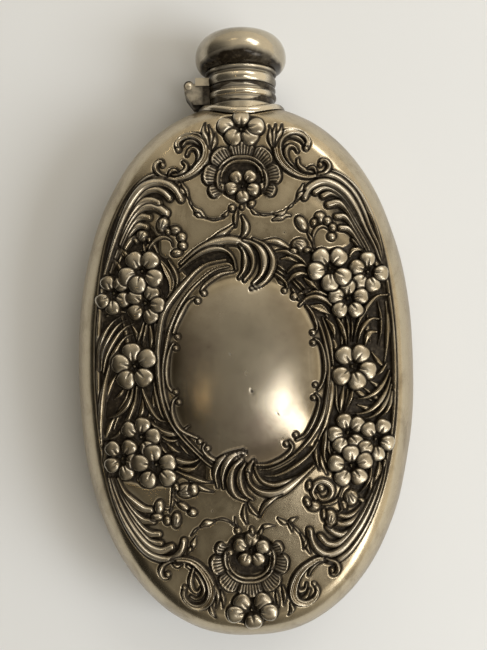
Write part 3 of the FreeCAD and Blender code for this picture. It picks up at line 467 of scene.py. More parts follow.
# ---- C scrolls with their inner leaves and volutes
for pts, w, h, pr in [
    ([(-9.3, 36.2), (-8.6, 37.6), (-8.9, 39)], .3, .4, "round"),
    ([(-12.5, 40.3), (-11.6, 41.2), (-10.4, 41.4), (-9.2, 40.8), (-8.3, 39.9)], .38, .6, "round"),
    ([(-11.5, 38.2), (-11, 39.3), (-10.1, 39.7), (-9.2, 39.2), (-8.8, 38), (-9.1, 36.8), (-9.9, 35.8), (-10.8, 35.2)], .42, .7, "round"),
    ([(-12.3, 36.7), (-11.6, 35.9), (-11.9, 34.8), (-13, 34.1), (-14.3, 33.9), (-15.3, 34.3)], .42, .65, "round"),
    ([(-15.6, 33.9), (-15, 34.8), (-14, 35), (-13.5, 34.5)], .3, .5, "round"),
    ([(-13.2, 39.5), (-13.6, 40.8), (-12.6, 42), (-10.8, 42.5), (-9, 42.1), (-7.6, 40.8), (-7.1, 39), (-7.5, 37.2), (-8.8, 35.6), (-10.3, 34.3), (-12, 33.4), (-14, 33), (-16, 33.3)], .82, .95, "flute"),
    ([(-16.9, 36), (-17, 36.9), (-17.8, 36.9), (-18.4, 36), (-18.2, 34.9), (-17.4, 34.1), (-16, 33.6)], .4, .7, "round"),
    ([(9.6, 36.4), (9.1, 37.8), (9.4, 39)], .3, .4, "round"),
    ([(9.7, 41.2), (10.7, 41.9), (12, 41.9), (13.3, 41.3), (14.1, 40.3), (14.1, 39.3)], .38, .6, "round"),
    ([(12.7, 38.6), (12, 39.6), (10.9, 39.8), (10.2, 38.9), (10.2, 37.7), (10.8, 36.5), (11.8, 35.5)], .42, .7, "round"),
    ([(12.7, 36.9), (12.8, 35.7), (13.6, 34.8), (14.8, 34.3), (16, 34)], .42, .65, "round"),
    ([(16.7, 33.9), (16.3, 34.9), (15.4, 35.1), (14.8, 34.7)], .3, .5, "round"),
    ([(14.6, 39.4), (15.1, 40.8), (14.3, 42.2), (12.6, 43), (10.8, 42.9), (9.3, 42), (8.4, 40.5), (8.3, 38.8), (8.8, 37), (10, 35.4), (11.8, 34), (13.6, 33.2), (15.4, 33), (17, 33.4)], .82, .95, "flute"),
    ([(17.5, 35.5), (17.8, 36.6), (18.8, 36.5), (19.5, 35.5), (19.2, 34.5), (18.3, 33.8), (17, 33.5)], .42, .7, "round"),
    ([(-12.9, -51.2), (-11.3, -52.4), (-9.9, -54.3), (-9.3, -56.3), (-9.9, -57.9), (-11.2, -58.6), (-12.4, -58)], .45, .65, "round"),
    ([(-11.5, -51.6), (-12, -53.2), (-12.3, -54.8), (-11.8, -56.5), (-10.8, -57.1), (-10.1, -56.2)], .42, .65, "round"),
    ([(-16.1, -50.6), (-15.2, -51.3), (-14.3, -51)], .3, .5, "round"),
    ([(-16, -49.9), (-14.2, -49.7), (-12.3, -50), (-10.5, -51.1), (-9, -52.9), (-7.9, -55.1), (-7.7, -57.2), (-8.5, -59.2), (-10, -60.3), (-11.8, -60.2), (-13.2, -59.2), (-13.9, -57.6), (-13.6, -56)], .82, .95, "flute"),
    ([(-17.2, -52.8), (-17.3, -53.8), (-18.2, -53.8), (-18.8, -52.6), (-18.3, -51.2), (-17.2, -50.5), (-15.8, -50.1)], .4, .7, "round"),
    ([(17.1, -50.6), (15.3, -51), (14.2, -52), (13.5, -53.7)], .42, .65, "round"),
    ([(12.2, -52.3), (10.9, -54.3), (10.6, -56.2), (11.6, -57.2), (12.7, -56.7), (13, -55.6)], .42, .7, "round"),
    ([(13.6, -57), (13, -58.2), (12, -58.8), (10.9, -58.4)], .36, .6, "round"),
    ([(17.2, -50), (15.4, -50.2), (13.9, -51), (12.2, -52.3), (10.9, -54), (10.1, -56.2), (10.1, -58), (10.9, -59.3), (12.5, -59.9), (14.1, -59.4), (15.2, -58.2), (15.4, -56.8), (14.7, -55.7)], .78, .95, "flute"),
    ([(18.5, -52.5), (18.6, -53.6), (19.4, -53.6), (20, -52.5), (19.6, -51.2), (18.5, -50.5), (17.2, -50.1)], .42, .7, "round")]:
    stroke(pts, w, h, (0.5, 0.35), 0.5, pr, groove=0.5, depth=0.35, base=0.0)
for x, y, r in [(-16.8, 36.1, .55), (17.6, 35.6, .55), (-17.2, -53, .58), (18.6, -52.7, .58), (-13.4, 39.4, .5), (14.5, 39.2, .5), (-13.6, -56, .5), (14.6, -55.6, .5)]:
    ball(x, y, r, h=.6, base=.1, groove=.25)
# pointed leaves beside the end flowers
for pts, w in [([(-6.4, 39.6), (-7, 41.5), (-7.8, 43.3), (-7.5, 45.6)], .5), ([(-6.2, 39.4), (-6, 41.6), (-6.2, 43.4), (-6.7, 45)], .42), ([(-5.9, 39.4), (-5.3, 41), (-5.2, 42.9)], .42),
               ([(7.6, 39.7), (8.1, 41.5), (9.1, 43), (9.5, 45)], .5), ([(7.4, 39.7), (7.4, 41.8), (7.8, 43.5), (8.1, 45)], .42), ([(7.1, 39.8), (6.7, 41.4), (6.8, 43.4), (6.6, 44.6)], .42),
               ([(-6.9, -55.6), (-6.4, -57.5), (-6.5, -59.3), (-6.9, -60.7)], .42), ([(-8, -60.2), (-7.7, -61.7), (-7, -63)], .42), ([(-5.6, -56.8), (-5.2, -58.8), (-5.3, -60.6)], .32),
               ([(7.8, -56), (8.2, -58), (8, -60.2)], .42), ([(9.5, -59.9), (9.8, -61.2), (9, -62.7)], .42), ([(6.4, -57.2), (6.6, -59), (6.8, -60.8)], .32)]:
    stroke(pts, w, .6, (0.4, 0.12), 0.4, "blade", groove=.4, depth=.28)


# ---- the two fan shells
def shell(cx, cy, up):
    """A scalloped fan of ribs round a double rim, opening away from the cartouche."""
    sx = cx + SHIFT
    win, gx, gy = window(np.array([[sx, cy]]), 10.0)
    dx, dy = gx - sx, (gy - cy) * up
    r, th = np.hypot(dx, dy), np.degrees(np.arctan2(dy, dx))
    th = np.where(th < -90, th + 360, th)
    lobes = [(90, 23, 8.35), (47, 19, 8.5), (133, 19, 8.5), (9, 18, 8.55), (171, 18, 8.55), (-22, 13, 7.7), (202, 13, 7.7)]
    outer = np.zeros_like(r); lobe_mid = np.zeros_like(r)
    for mid, half, ro in lobes:
        x = (th - mid) / half
        o = ro - 1.15 * np.clip(np.abs(x), 0, 1) ** 3.2
        m = np.abs(x) <= 1
        outer[m] = np.maximum(outer[m], o[m]); lobe_mid[m] = mid
    inner = 4.9 + 0.55 * np.abs(np.cos(np.radians(th)))
    inside = (r < outer) & (r > inner - 1.1)
    dist = r - outer
    k = np.clip((r - inner) / np.maximum(outer - inner, 0.1), 0, 1)
    ribs = 0.5 + 0.5 * np.cos(np.radians((th - lobe_mid) * 360 / 5.6))
    z = 0.12 + 0.55 * smooth(k * 1.6) + 0.28 * (ribs - 0.5) * smooth(k * 4) * smooth((0.93 - k) * 5)
    rim = np.exp(-((r - outer + 0.32) / 0.24) ** 2)
    z = z + 0.2 * rim
    g = HEIGHT[win]; gr = GRIME[win]
    near = (~inside) & (dist > 0) & (dist < 0.6) & (outer > 0)
    g[near] = (g - 0.32 * smooth(1 - dist / 0.6))[near]
    gr[near] = np.maximum(gr, smooth(1.3 - dist / 0.6))[near]
    g[inside] = z[inside]
    gr[inside] = (0.85 * (1 - ribs) * smooth(k * 4) * smooth((0.9 - k) * 6) + 0.25 * (k < 0.1))[inside]
    for mid, half, ro in lobes:                   # creases between the lobes
        for e in (mid - half, mid + half):
            if -40 < e < 220:
                d = np.abs(np.radians(th - e)) * r
                c = np.exp(-(d / 0.22) ** 2) * (r > inner) * (r < outer + 0.2)
                g -= 0.3 * c; np.maximum(gr, c, out=gr)
    def arc(radius, a0, a1):
        return [(cx + (radius + 0.5 * abs(math.cos(math.radians(a)))) * math.cos(math.radians(a)),
                 cy + up * (radius + 0.5 * abs(math.cos(math.radians(a)))) * math.sin(math.radians(a))) for a in np.linspace(a0, a1, 15)]
    stroke(arc(4.95, -24, 204), .3, .62, (0.6, 0.6), 0.5, "round", groove=.3, depth=.25, base=.15)
    end = [(cx + 4.2, cy - up * 2.3), (cx + 3.9, cy - up * 1.4), (cx + 4.6, cy - up * 0.9)]
    for sgn in (-1, 1):
        curl = [(cx + sgn * (a - cx), b) for a, b in [(cx + 5.1, cy + up * 1.2), (cx + 5.35, cy - up * 0.4), (cx + 5.1, cy - up * 1.6)] + end]
        stroke([(cx + sgn * 3.0, cy + up * 3.4), (cx + sgn * 4.4, cy + up * 2.1)] + curl, .34, .75, (0.4, 0.9), 0.5, "round", groove=.3, base=.15)
        ball(cx + sgn * 4.15, cy - up * 1.55, .72, h=.6, base=.2, groove=.3)
        ball(cx + sgn * 3.8, cy + up * 2.3, .55, .75, h=.5, base=.1, groove=.3)
    stroke(arc(4.05, 8, 172), .3, .55, (0.6, 0.6), 0.5, "round", groove=.3, depth=.2, base=.1)


shell(0.45, 32.6, 1)
shell(0.65, -49.9, -1)
flower_at(0.5, 31.2, [(-0.8, 33.1), (2.2, 33.2), (2.8, 30.4), (0.5, 28.9), (-1.9, 30.7)], 1.16, .8, .2, .4)
flower_at(1.0, -47.9, [(-1.3, -46.7), (1.2, -45.4), (3.5, -47.1), (2.5, -49.8), (-0.3, -49.8)], 1.26, .85, .2, .4)
flower_at(0.4, 43.8, [(-2.9, 44.6), (-1.2, 42), (2.3, 42), (3.7, 44.3), (0.5, 46.3)], 1.56, .9, .1, .5)
flower_at(0.9, -61.3, [(-1.1, -59.4), (3.3, -59.2), (4.7, -61.7), (1.3, -63.8), (-2.6, -62)], 1.62, .95, .1, .5)

# ---- small sprays near the shells
for x, y, rx, ry, rot in [(2.4, 27.3, .9, .7, 40), (-1.8, 26.4, .75, .8, 0), (0.3, 26.6, .5, .6, 0), (-1.8, -43.5, .7, .8, 0), (1.3, -43.6, .5, .8, 10)]:
    ball(x, y, rx, ry, .55, rot, .35, .25, .05)
for pts, w, h in [
    ([(-12.7, 32.2), (-12.2, 31), (-11.6, 29.8), (-11.2, 28.7)], .5, .5), ([(-13.1, 31.2), (-12.5, 30.2), (-11.8, 29.6)], .36, .4),
    ([(-11.2, 28.8), (-10.7, 27.5), (-10, 26.3)], .16, .22), ([(-10.3, 26.9), (-9.4, 25.9), (-8.4, 25.2), (-7.6, 24.5)], .62, .6), ([(-10, 25.3), (-9.2, 25), (-8.4, 24.6)], .34, .45),
    ([(-7.6, 24.4), (-5.8, 24), (-3.6, 24.3)], .15, .2),
    ([(13.8, 31.4), (13.2, 30), (12.6, 28.6), (11.9, 27.5)], .5, .5), ([(13.9, 29.8), (13, 29), (12.3, 28)], .36, .4), ([(11.8, 27.5), (11, 26.7), (10.1, 26)], .16, .22),
    ([(10.8, 24.6), (9.5, 24.7), (8.3, 24.1), (7, 23.7)], .6, .6), ([(10, 26), (9.3, 25.2), (8.2, 24.9), (7.2, 25)], .42, .5), ([(7, 25), (5, 24.9), (3.2, 25.5)], .15, .2),
    ([(2.2, 26.4), (3, 25.4), (4, 24.9)], .3, .35), ([(-2.6, 25.8), (-3.2, 25), (-4, 24.8)], .3, .3),
    ([(-9.8, -42.6), (-8.9, -42), (-7.8, -41.7), (-6.9, -41.5)], .62, .6), ([(-6.9, -41.3), (-5.2, -41), (-3.6, -41.5), (-2.6, -42.4)], .16, .22), ([(-12, -44.6), (-11, -43.4), (-10, -42.7)], .15, .2),
    ([(-12, -47.8), (-11.5, -46.4), (-10.9, -44.9)], .5, .6), ([(-12.9, -48.6), (-12.3, -47.6), (-11.8, -46.8)], .3, .35), ([(-2.4, -40.6), (-2.2, -41.8), (-1.9, -42.8)], .16, .25),
    ([(7, -41), (8.2, -41.9), (9.4, -42)], .42, .5), ([(11, -41), (9.8, -41.6), (9, -42.2)], .36, .45), ([(9.2, -42), (9.8, -43), (10, -44)], .3, .35),
    ([(9.8, -42.3), (11.3, -43.8), (12.2, -45.2)], .18, .25), ([(12, -44.6), (12.8, -46.3), (13.2, -47.4), (13.9, -48.8)], .5, .55), ([(13.4, -45.6), (12.9, -46.4), (12.4, -47.8)], .3, .35),
    ([(2.9, -44.3), (3.7, -43), (5, -42.6), (6.2, -42.7)], .36, .45), ([(2.5, -45), (3.2, -43.9), (3.6, -43)], .3, .4),
    ([(-20.5, 16.6), (-19.7, 18.6), (-18.2, 20), (-16.6, 20.4), (-15.2, 19.7), (-14.8, 18.4)], .32, .45), ([(-21.3, 19.4), (-21.1, 18), (-20.9, 16.8)], .28, .4),
    ([(16.1, 16.8), (15.6, 18.5), (15.7, 20.3), (16.6, 21.8), (18, 22.2), (19.3, 21.3), (19.4, 20)], .32, .5), ([(14.4, 21), (15.1, 19.7), (15.6, 18.4)], .28, .4),
    ([(14.6, 17.4), (15.4, 16.8), (16.2, 16.6)], .3, .4),
    ([(-15.8, -33.2), (-15.7, -35.5), (-15.9, -37.5), (-16.5, -39.4)], .28, .4), ([(-15.7, -36), (-14.8, -37), (-13.9, -37.6)], .25, .35), ([(-15.9, -35), (-14.6, -35), (-13.4, -34.8)], .25, .35),
    ([(-16.2, -38.4), (-17.2, -38.6), (-18.2, -38.2)], .25, .35),
    ([(21.3, -34), (20.6, -36), (19.7, -37.4), (18.2, -38.1), (16.4, -38.3), (14.6, -38.6)], .3, .55), ([(20.2, -36.8), (20.6, -38.2), (20.9, -39.6), (19.6, -40.4)], .26, .4),
    ([(23.3, -34.6), (22.6, -35.6), (22, -36.4)], .26, .4)]:
    stroke(pts, w, h, (0.3, 0.25), 0.5, "round" if w < .4 else "blade", groove=.36, depth=.22, base=0.02)
# the curled bud stem at the lower right
stroke([(15.2, -36.9), (14.5, -35.4), (15.1, -33.9), (16.7, -33.2), (18.3, -33.9), (18.8, -35.5), (17.9, -36.9), (16.4, -37.1), (15.6, -36)], .66, .7, (0.6, 0.5), .5, "round", groove=.35, depth=.3)
# buds: x, y, radii, turn
for x, y, rx, ry, rot, h in [
    (-17, 23.1, 1.25, 1.75, -18, .8), (-14.3, 21.8, 1.25, 1.0, -10, .75), (-12.9, 20.3, 1.0, 1.05, 0, .7), (-12.7, 18.4, .95, .9, 0, .7), (-14, 16.9, 1.15, .8, 10, .65), (-15.9, 21.6, .6, .7, 0, .4),
    (-21.5, 20.8, 1.35, 1.3, 0, .8), (-22.9, 19.7, .5, .6, 30, .45), (-20, 19.9, .5, .6, -30, .45),
    (17.3, 24.1, 1.2, 1.25, 0, .75), (18.9, 23.3, .95, .95, 0, .7), (20, 21.9, .9, .95, 0, .7), (19.7, 19.9, .95, .9, 0, .65), (15.9, 23, .7, .9, -20, .6),
    (13.2, 22.8, 1.15, 1.75, 32, .8), (12.6, 18.1, 1.75, 1.45, 10, .8), (14.3, 17, .8, .55, 10, .5), (11.4, 16.9, .8, .5, -20, .4),
    (-12.9, -34.7, 1.9, 1.6, 0, .85), (-11.2, -34.4, 1.0, 1.35, 0, .95), (-15, -33.9, .6, .9, 20, .45), (-11.6, -39.4, 1.0, .85, -20, .8), (-13.5, -38.1, 1.35, .7, -33, .6),
    (-15.1, -41.1, 1.0, 1.7, -6, .8), (-17.1, -41.2, .8, 1.0, 0, .5), (-18.8, -38.3, 1.0, 1.6, -10, .75), (-19.3, -40.4, 1.3, .8, 0, .6),
    (14.8, -38.5, 1.45, 1.15, 0, .85), (13.4, -37.6, .7, 1.0, 20, .6), (16.4, -34.6, .85, .85, 0, .75), (13.8, -34, .6, 1.0, -10, .45),
    (23, -37, 1.6, 1.9, -15, .85), (21.4, -38.5, .6, 1.1, 20, .45), (25.3, -37.6, .8, .5, -20, .4), (18.4, -41.2, 1.3, 1.9, 4, .8), (16.9, -40.3, .5, 1.2, 0, .45)]:
    ball(x, y, rx, ry, h, rot, .42, .3, .0)
for x, y, a in [(-21.5, 20.8, 60), (-17, 23.1, 70), (-12.9, -34.7, 20), (12.6, 18.1, -30), (23, -37, -60), (18.4, -41.2, 80), (-14.3, 21.8, 10), (-15.1, -41.1, 85)]:
    for da in (-38, 0, 38):                       # calyx lines over the larger buds
        t = math.radians(a + da * 0.4)
        n = (math.cos(t + math.pi / 2) * da / 60, math.sin(t + math.pi / 2) * da / 60)
        c = curve_points([(x + SHIFT + n[0] - 0.9 * math.cos(t), y + n[1] - 0.9 * math.sin(t)), (x + SHIFT + n[0] * 1.3 + 0.7 * math.cos(t), y + n[1] * 1.3 + 0.7 * math.sin(t))])
        win, gx, gy = window(c, 0.5)
        d, t2, s = nearest(c, gx, gy)
        HEIGHT[win] -= (0.16 * np.exp(-(d / 0.12) ** 2)).astype(np.float32)
        GRIME[win] = np.maximum(GRIME[win], 0.7 * np.exp(-(d / 0.16) ** 2))

# ---- five-petalled flowers
flower_at(-28, 8.4, [(-29.2, 10.6), (-26.3, 10.3), (-25.8, 7), (-28.2, 5.3), (-30.4, 6.8)], 1.35)
flower_at(-21.1, 6.1, [(-23.2, 7.5), (-19.6, 8.3), (-23.2, 4.2), (-19.8, 3.3), (-18.3, 5.7)], 1.4, .85)
flower_at(-21.7, 13.1, [(-23.2, 15.4), (-19.8, 15.3), (-24.8, 12.1), (-22.6, 10.2), (-19, 11.6)], 1.62, 1.0)
flower_at(-23.7, -7.6, [(-24.1, -4.5), (-26.6, -7), (-25.4, -10.4), (-21.6, -9.9), (-20.8, -5.9)], 1.72, 1.05)
flower_at(-22.5, -23, [(-25, -21.3), (-22, -20.3), (-19.8, -22.7), (-21, -25.4)], 1.42)
flower_at(-26.7, -27.7, [(-28.7, -25.5), (-25.1, -25.2), (-28.9, -29), (-25.8, -30.6), (-24.2, -28.2)], 1.42)
flower_at(-19.3, -29, [(-19.8, -26.4), (-16.7, -28.5), (-16.8, -31.7), (-21, -32.1), (-22.6, -28.6)], 1.55, 1.0)
flower_at(27.6, 12.1, [(27.5, 14.8), (25.1, 13.1), (25.7, 10), (28.5, 9.3), (30.4, 11.8)], 1.42)
flower_at(23, 6.4, [(23, 8.8), (20.4, 7), (25.8, 6.8), (21.2, 4), (24.6, 3.9)], 1.42)
flower_at(19.2, 13, [(17.3, 15.3), (21.1, 15.3), (16.2, 12.4), (19.1, 9.9), (21.9, 11.2)], 1.62, 1.0)
flower_at(23.7, -8.4, [(22, -6), (25.5, -5.7), (27, -9.3), (24.6, -11.5), (21.2, -10.3)], 1.68, 1.05)
flower_at(22.5, -22.8, [(21.7, -20.2), (24.6, -21), (19.7, -22.9), (20.8, -25.3), (24.1, -24.7)], 1.42)
flower_at(28.7, -24.4, [(27.1, -22.2), (30.2, -21.6), (31.2, -25.2), (28.9, -27.5), (26.3, -26.1)], 1.42)
flower_at(23.2, -30, [(23, -27.3), (26, -29), (24.7, -32.3), (21.2, -32.4), (19.8, -29.3)], 1.55, 1.0)

# a pit in the plain field
for px, py, pr, pd in [(1.1, -13.2, .32, .12), (-3.4, -5.2, .16, .04), (6.6, -18.2, .14, .04), (-6.1, 24.2, .2, .05), (8.8, 20.9, .18, .05), (-7.9, -39.2, .2, .06)]:
    c = np.array([[px, py]])
    win, gx, gy = window(c, 1.0)
    k = np.exp(-(np.hypot(gx - px, gy - py) / pr) ** 2)
    HEIGHT[win] -= (pd * k).astype(np.float32)
    GRIME[win] = np.maximum(GRIME[win], k)
# ---- END RELIEF


def blurred(a, cells, passes=3):
    """Box blur, a few times over, edges held."""
    for _ in range(passes):
        for axis in (0, 1):
            p = np.pad(a, [(cells, cells) if k == axis else (0, 0) for k in (0, 1)], mode="edge").astype(np.float64)
            c = np.cumsum(p, axis=axis)
            c = np.concatenate([np.zeros_like(np.take(c, [0], axis=axis)), c], axis=axis)
            n = 2 * cells + 1
            hi = np.take(c, np.arange(n, c.shape[axis]), axis=axis)
            lo = np.take(c, np.arange(0, c.shape[axis] - n), axis=axis)
            a = (hi - lo) / n
    return a


HEIGHT = 1.12 * np.clip(HEIGHT, -0.9, 1.35)
HEIGHT = blurred(HEIGHT, 1, 1)
GRIME = blurred(GRIME, 1, 1)
WIDE = blurred(HEIGHT, 7, 2)
NARROW = blurred(HEIGHT, 3, 2)
CAVITY = np.clip((WIDE - HEIGHT - 0.04) / 0.36, 0, 1)
CREST = np.clip((HEIGHT - NARROW) / 0.16, 0, 1)
HALO = np.clip(blurred(np.maximum(GRIME, CAVITY), 9, 3) * 2.4, 0, 1)
FIELD_R = (np.abs((xs[None, :] - 0.5 - SHIFT) / 16.6) ** 2.15 + np.abs((ys[:, None] + 9.2) / 20.6) ** 2.15) ** (1 / 2.15)
FIELD = smooth((0.99 - FIELD_R) / 0.06)
RIM = FIELD * smooth((FIELD_R - 0.28) / 0.62) * (0.45 + 0.55 * np.abs((xs[None, :] - 0.5 - SHIFT) / 16.6) ** 1.2)


def sample(grid, x, y):
    """Bilinear value of a raster at points in millimetres."""
    u = np.clip((x - X_LOW) / CELL, 0, len(xs) - 1.001); v = np.clip((y - Y_LOW) / CELL, 0, len(ys) - 1.001)
    i, j = u.astype(int), v.astype(int)
    a, b = u - i, v - j
    return ((grid[j, i] * (1 - a) + grid[j, i + 1] * a) * (1 - b) + (grid[j + 1, i] * (1 - a) + grid[j + 1, i + 1] * a) * b)


# ------------------------------------------------------------------ meshes
def outline(n):
    """The body's outline, evenly spaced, with outward directions (mm)."""
    t = np.linspace(0, 2 * math.pi, 20001)
    e = 2 / OUTLINE_N
    x = BODY_A * np.sign(np.cos(t)) * np.abs(np.cos(t)) ** e
    y = BODY_B * np.sign(np.sin(t)) * np.abs(np.sin(t)) ** e
    run = np.concatenate([[0], np.cumsum(np.hypot(np.diff(x), np.diff(y)))])
    want = np.linspace(0, run[-1], n, endpoint=False)
    px, py = np.interp(want, run, x), np.interp(want, run, y)
    nx = np.sign(px) * np.abs(px / BODY_A) ** (OUTLINE_N - 1) / BODY_A
    ny = np.sign(py) * np.abs(py / BODY_B) ** (OUTLINE_N - 1) / BODY_B
    k = np.hypot(nx, ny)
    return px, py, nx / k, ny / k


def front_rows(n_wall, n_slope, n_fine, n_field):
    """(inset, share, rise) of each ring of the front, seam first."""
    rows = [(FRONT_EDGE_D * (1 - math.cos(a)), 1.0, FRONT_EDGE_Z * math.sin(a))
            for a in np.radians(np.concatenate([np.linspace(0, 52, n_wall, endpoint=False), np.linspace(52, 85, n_slope)]))]
    inset, z0 = rows[-1][0], rows[-1][2]
    shares = np.concatenate([np.linspace(1, 0.36, n_fine + 1)[1:], np.linspace(0.36, 0.012, n_field)[1:]])
    rows += [(inset, s, z0 + FRONT_CROWN * (1 - s * s)) for s in shares]
    return np.array(rows), inset, z0


def ring_grid(rows, n, offset=0.0):
    ox, oy, nx, ny = outline(n)
    x = (ox[None] - nx[None] * (rows[:, 0:1] + offset)) * rows[:, 1:2]
    y = (oy[None] - ny[None] * (rows[:, 0:1] + offset)) * rows[:, 1:2] + BODY_Y
    z = SEAM_Z + np.repeat(rows[:, 2:3], n, 1)
    return np.stack([x, y, z], -1)


def grid_normals(p):
    """Outward normals of rings of points."""
    around = np.roll(p, -1, 1) - np.roll(p, 1, 1)
    inward = np.empty_like(p)
    inward[1:-1] = p[2:] - p[:-2]; inward[0] = p[1] - p[0]; inward[-1] = p[-1] - p[-2]
    n = np.cross(around, inward)
    return n / np.maximum(np.linalg.norm(n, axis=-1, keepdims=True), 1e-12)


def mesh_object(name, verts, faces, attributes=None, smooth_shade=True):
    """verts in millimetres; faces a list or an array of equal length rows."""
    me = bpy.data.meshes.new(name)
    if isinstance(faces, np.ndarray):
        k = faces.shape[1]
        me.vertices.add(len(verts)); me.vertices.foreach_set("co", (np.asarray(verts) / 1000).astype(np.float32).ravel())
        me.loops.add(faces.size); me.loops.foreach_set("vertex_index", faces.astype(np.int32).ravel())
        me.polygons.add(len(faces)); me.polygons.foreach_set("loop_start", np.arange(0, faces.size, k, dtype=np.int32))
        me.update(calc_edges=True)
    else:
        me.from_pydata([tuple(v) for v in np.asarray(verts) / 1000], [], faces)
    me.validate()
    for key, values in (attributes or {}).items():
        at = me.attributes.new(key, "FLOAT", "POINT")
        at.data.foreach_set("value", np.asarray(values, np.float32))
    me.polygons.foreach_set("use_smooth", [smooth_shade] * len(me.polygons))
    me.update()
    ob = bpy.data.objects.new(name, me)
    bpy.context.scene.collection.objects.link(ob)
    return ob


def front_piece():
    """The embossed front: outer skin with the relief, inner skin behind it, closed at the seam."""
    n = 1560
    rows, inset, z0 = front_rows(12, 34, 196, 40)
    skin = ring_grid(rows, n)
    normal = grid_normals(skin)
    if normal[0, 0] @ np.array([1, 0, 0]) < 0:
        normal = -normal
    x, y = skin[..., 0], skin[..., 1]
    up = smooth((normal[..., 2] - 0.25) / 0.35)
    h = sample(HEIGHT, x, y) * up
    ground = -0.32 * smooth((normal[..., 2] - 0.1) / 0.6)
    # hand-worked unevenness of the plain metal, and a few shallow dings
    wave = 0.03 * np.sin(x * 0.31 + 1.3 * np.sin(y * 0.17)) * np.cos(y * 0.23 + 0.9 * np.sin(x * 0.21))
    for cx, cy, r, d in [(-20, -57, 5, .12), (14, 50, 3.5, .08), (-36, -20, 6, .14), (36.5, -30, 6, .18), (35, 24, 5, .12), (-31, 33, 5, .1), (2, -66, 5, .1), (-4, -14, 3.2, .05), (7, -3, 4, .05)]:
        wave = wave - d * np.exp(-((x - cx) ** 2 + (y - cy) ** 2) / r ** 2)
    outer = skin + normal * (h + ground + wave)[..., None]
    grime = np.maximum(sample(GRIME, x, y), 0.72 * sample(CAVITY, x, y)) * up
    crest = sample(CREST, x, y) * up
    raised = np.clip(sample(WIDE, x, y), -0.6, 1.2) * up
    halo = sample(HALO, x, y) * up
    field = sample(FIELD, x, y)
    rim = sample(RIM, x, y)
    flank = 1 - smooth((normal[..., 2] - 0.22) / 0.55)
    m = len(rows)
    ring = np.arange(n)
    nxt = (ring + 1) % n
    faces = []
    for i in range(m - 1):
        a, b = i * n + ring, i * n + nxt
        c, d = (i + 1) * n + nxt, (i + 1) * n + ring
        faces.append(np.stack([a, b, c, d], 1))
    verts = [outer.reshape(-1, 3)]
    centre_out = len(verts[0])
    verts.append(outer[-1].mean(0)[None])
    # inner skin, coarser in rows only
    inner_rows = np.concatenate([rows[0:12:3], rows[12:46:6], rows[46::14], rows[-1:]])
    flat = ring_grid(inner_rows, n)
    nrm = grid_normals(flat)
    if nrm[0, 0] @ np.array([1, 0, 0]) < 0:
        nrm = -nrm
    back = flat - nrm * (1.5 * smooth(np.arange(len(inner_rows)) / 3) + 0.7 * (1 - smooth(np.arange(len(inner_rows)) / 3)))[:, None, None]
    back[0, :, 2] = SEAM_Z
    start = centre_out + 1
    verts.append(back.reshape(-1, 3))
    k = len(inner_rows)
    for i in range(k - 1):
        a, b = start + i * n + ring, start + i * n + nxt
        c, d = start + (i + 1) * n + nxt, start + (i + 1) * n + ring
        faces.append(np.stack([d, c, b, a], 1))
    centre_in = start + k * n
    verts.append(back[-1].mean(0)[None])
    faces.append(np.stack([ring, start + ring, start + nxt, nxt], 1))        # the seam edge
    faces = np.concatenate(faces)
    verts = np.concatenate(verts)
    # the neck's way in stays open
    mid = verts[faces].mean(1)
    hole = (np.hypot(mid[:, 0], mid[:, 2] - SEAM_Z) < 6.35) & (mid[:, 1] > 40)
    faces = faces[~hole]
    at = {}
    pad = len(verts) - m * n
    at["grime"] = np.concatenate([grime.ravel(), np.zeros(pad)])
    at["crest"] = np.concatenate([crest.ravel(), np.zeros(pad)])
    at["raised"] = np.concatenate([raised.ravel(), np.zeros(pad)])
    for key, values, rest in (("halo", halo, 0.0), ("field", field, 0.0), ("rim", rim, 0.0), ("flank", flank, 1.0)):
        at[key] = np.concatenate([values.ravel(), np.full(pad, rest)])
    ob = mesh_object("embossed_front", verts, faces, at)
    bm = bmesh.new(); bm.from_mesh(ob.data); bm.verts.ensure_lookup_table()
    for c, first, flip in ((centre_out, (m - 1) * n, False), (centre_in, start + (k - 1) * n, True)):
        for j in range(n):
            f = [bm.verts[first + j], bm.verts[first + (j + 1) % n], bm.verts[c]]
            bm.faces.new(f[::-1] if flip else f).smooth = True
    loose = [v for v in bm.verts if not v.link_faces]
    bmesh.ops.delete(bm, geom=loose, context="VERTS")
    bmesh.ops.recalc_face_normals(bm, faces=bm.faces)
    bm.to_mesh(ob.data); bm.free()
    ob.data.update()
    return ob


front = front_piece()
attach(front, "flask"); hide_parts("front_shell")

# ------------------------------------------------------------------ finishes
def new_material(name):
    m = bpy.data.materials.new(name)
    m.use_nodes = True
    nt = m.node_tree
    nt.nodes.clear()
    out = nt.nodes.new("ShaderNodeOutputMaterial")
    b = nt.nodes.new("ShaderNodeBsdfPrincipled")
    nt.links.new(b.outputs[0], out.inputs[0])
    return m, nt, b


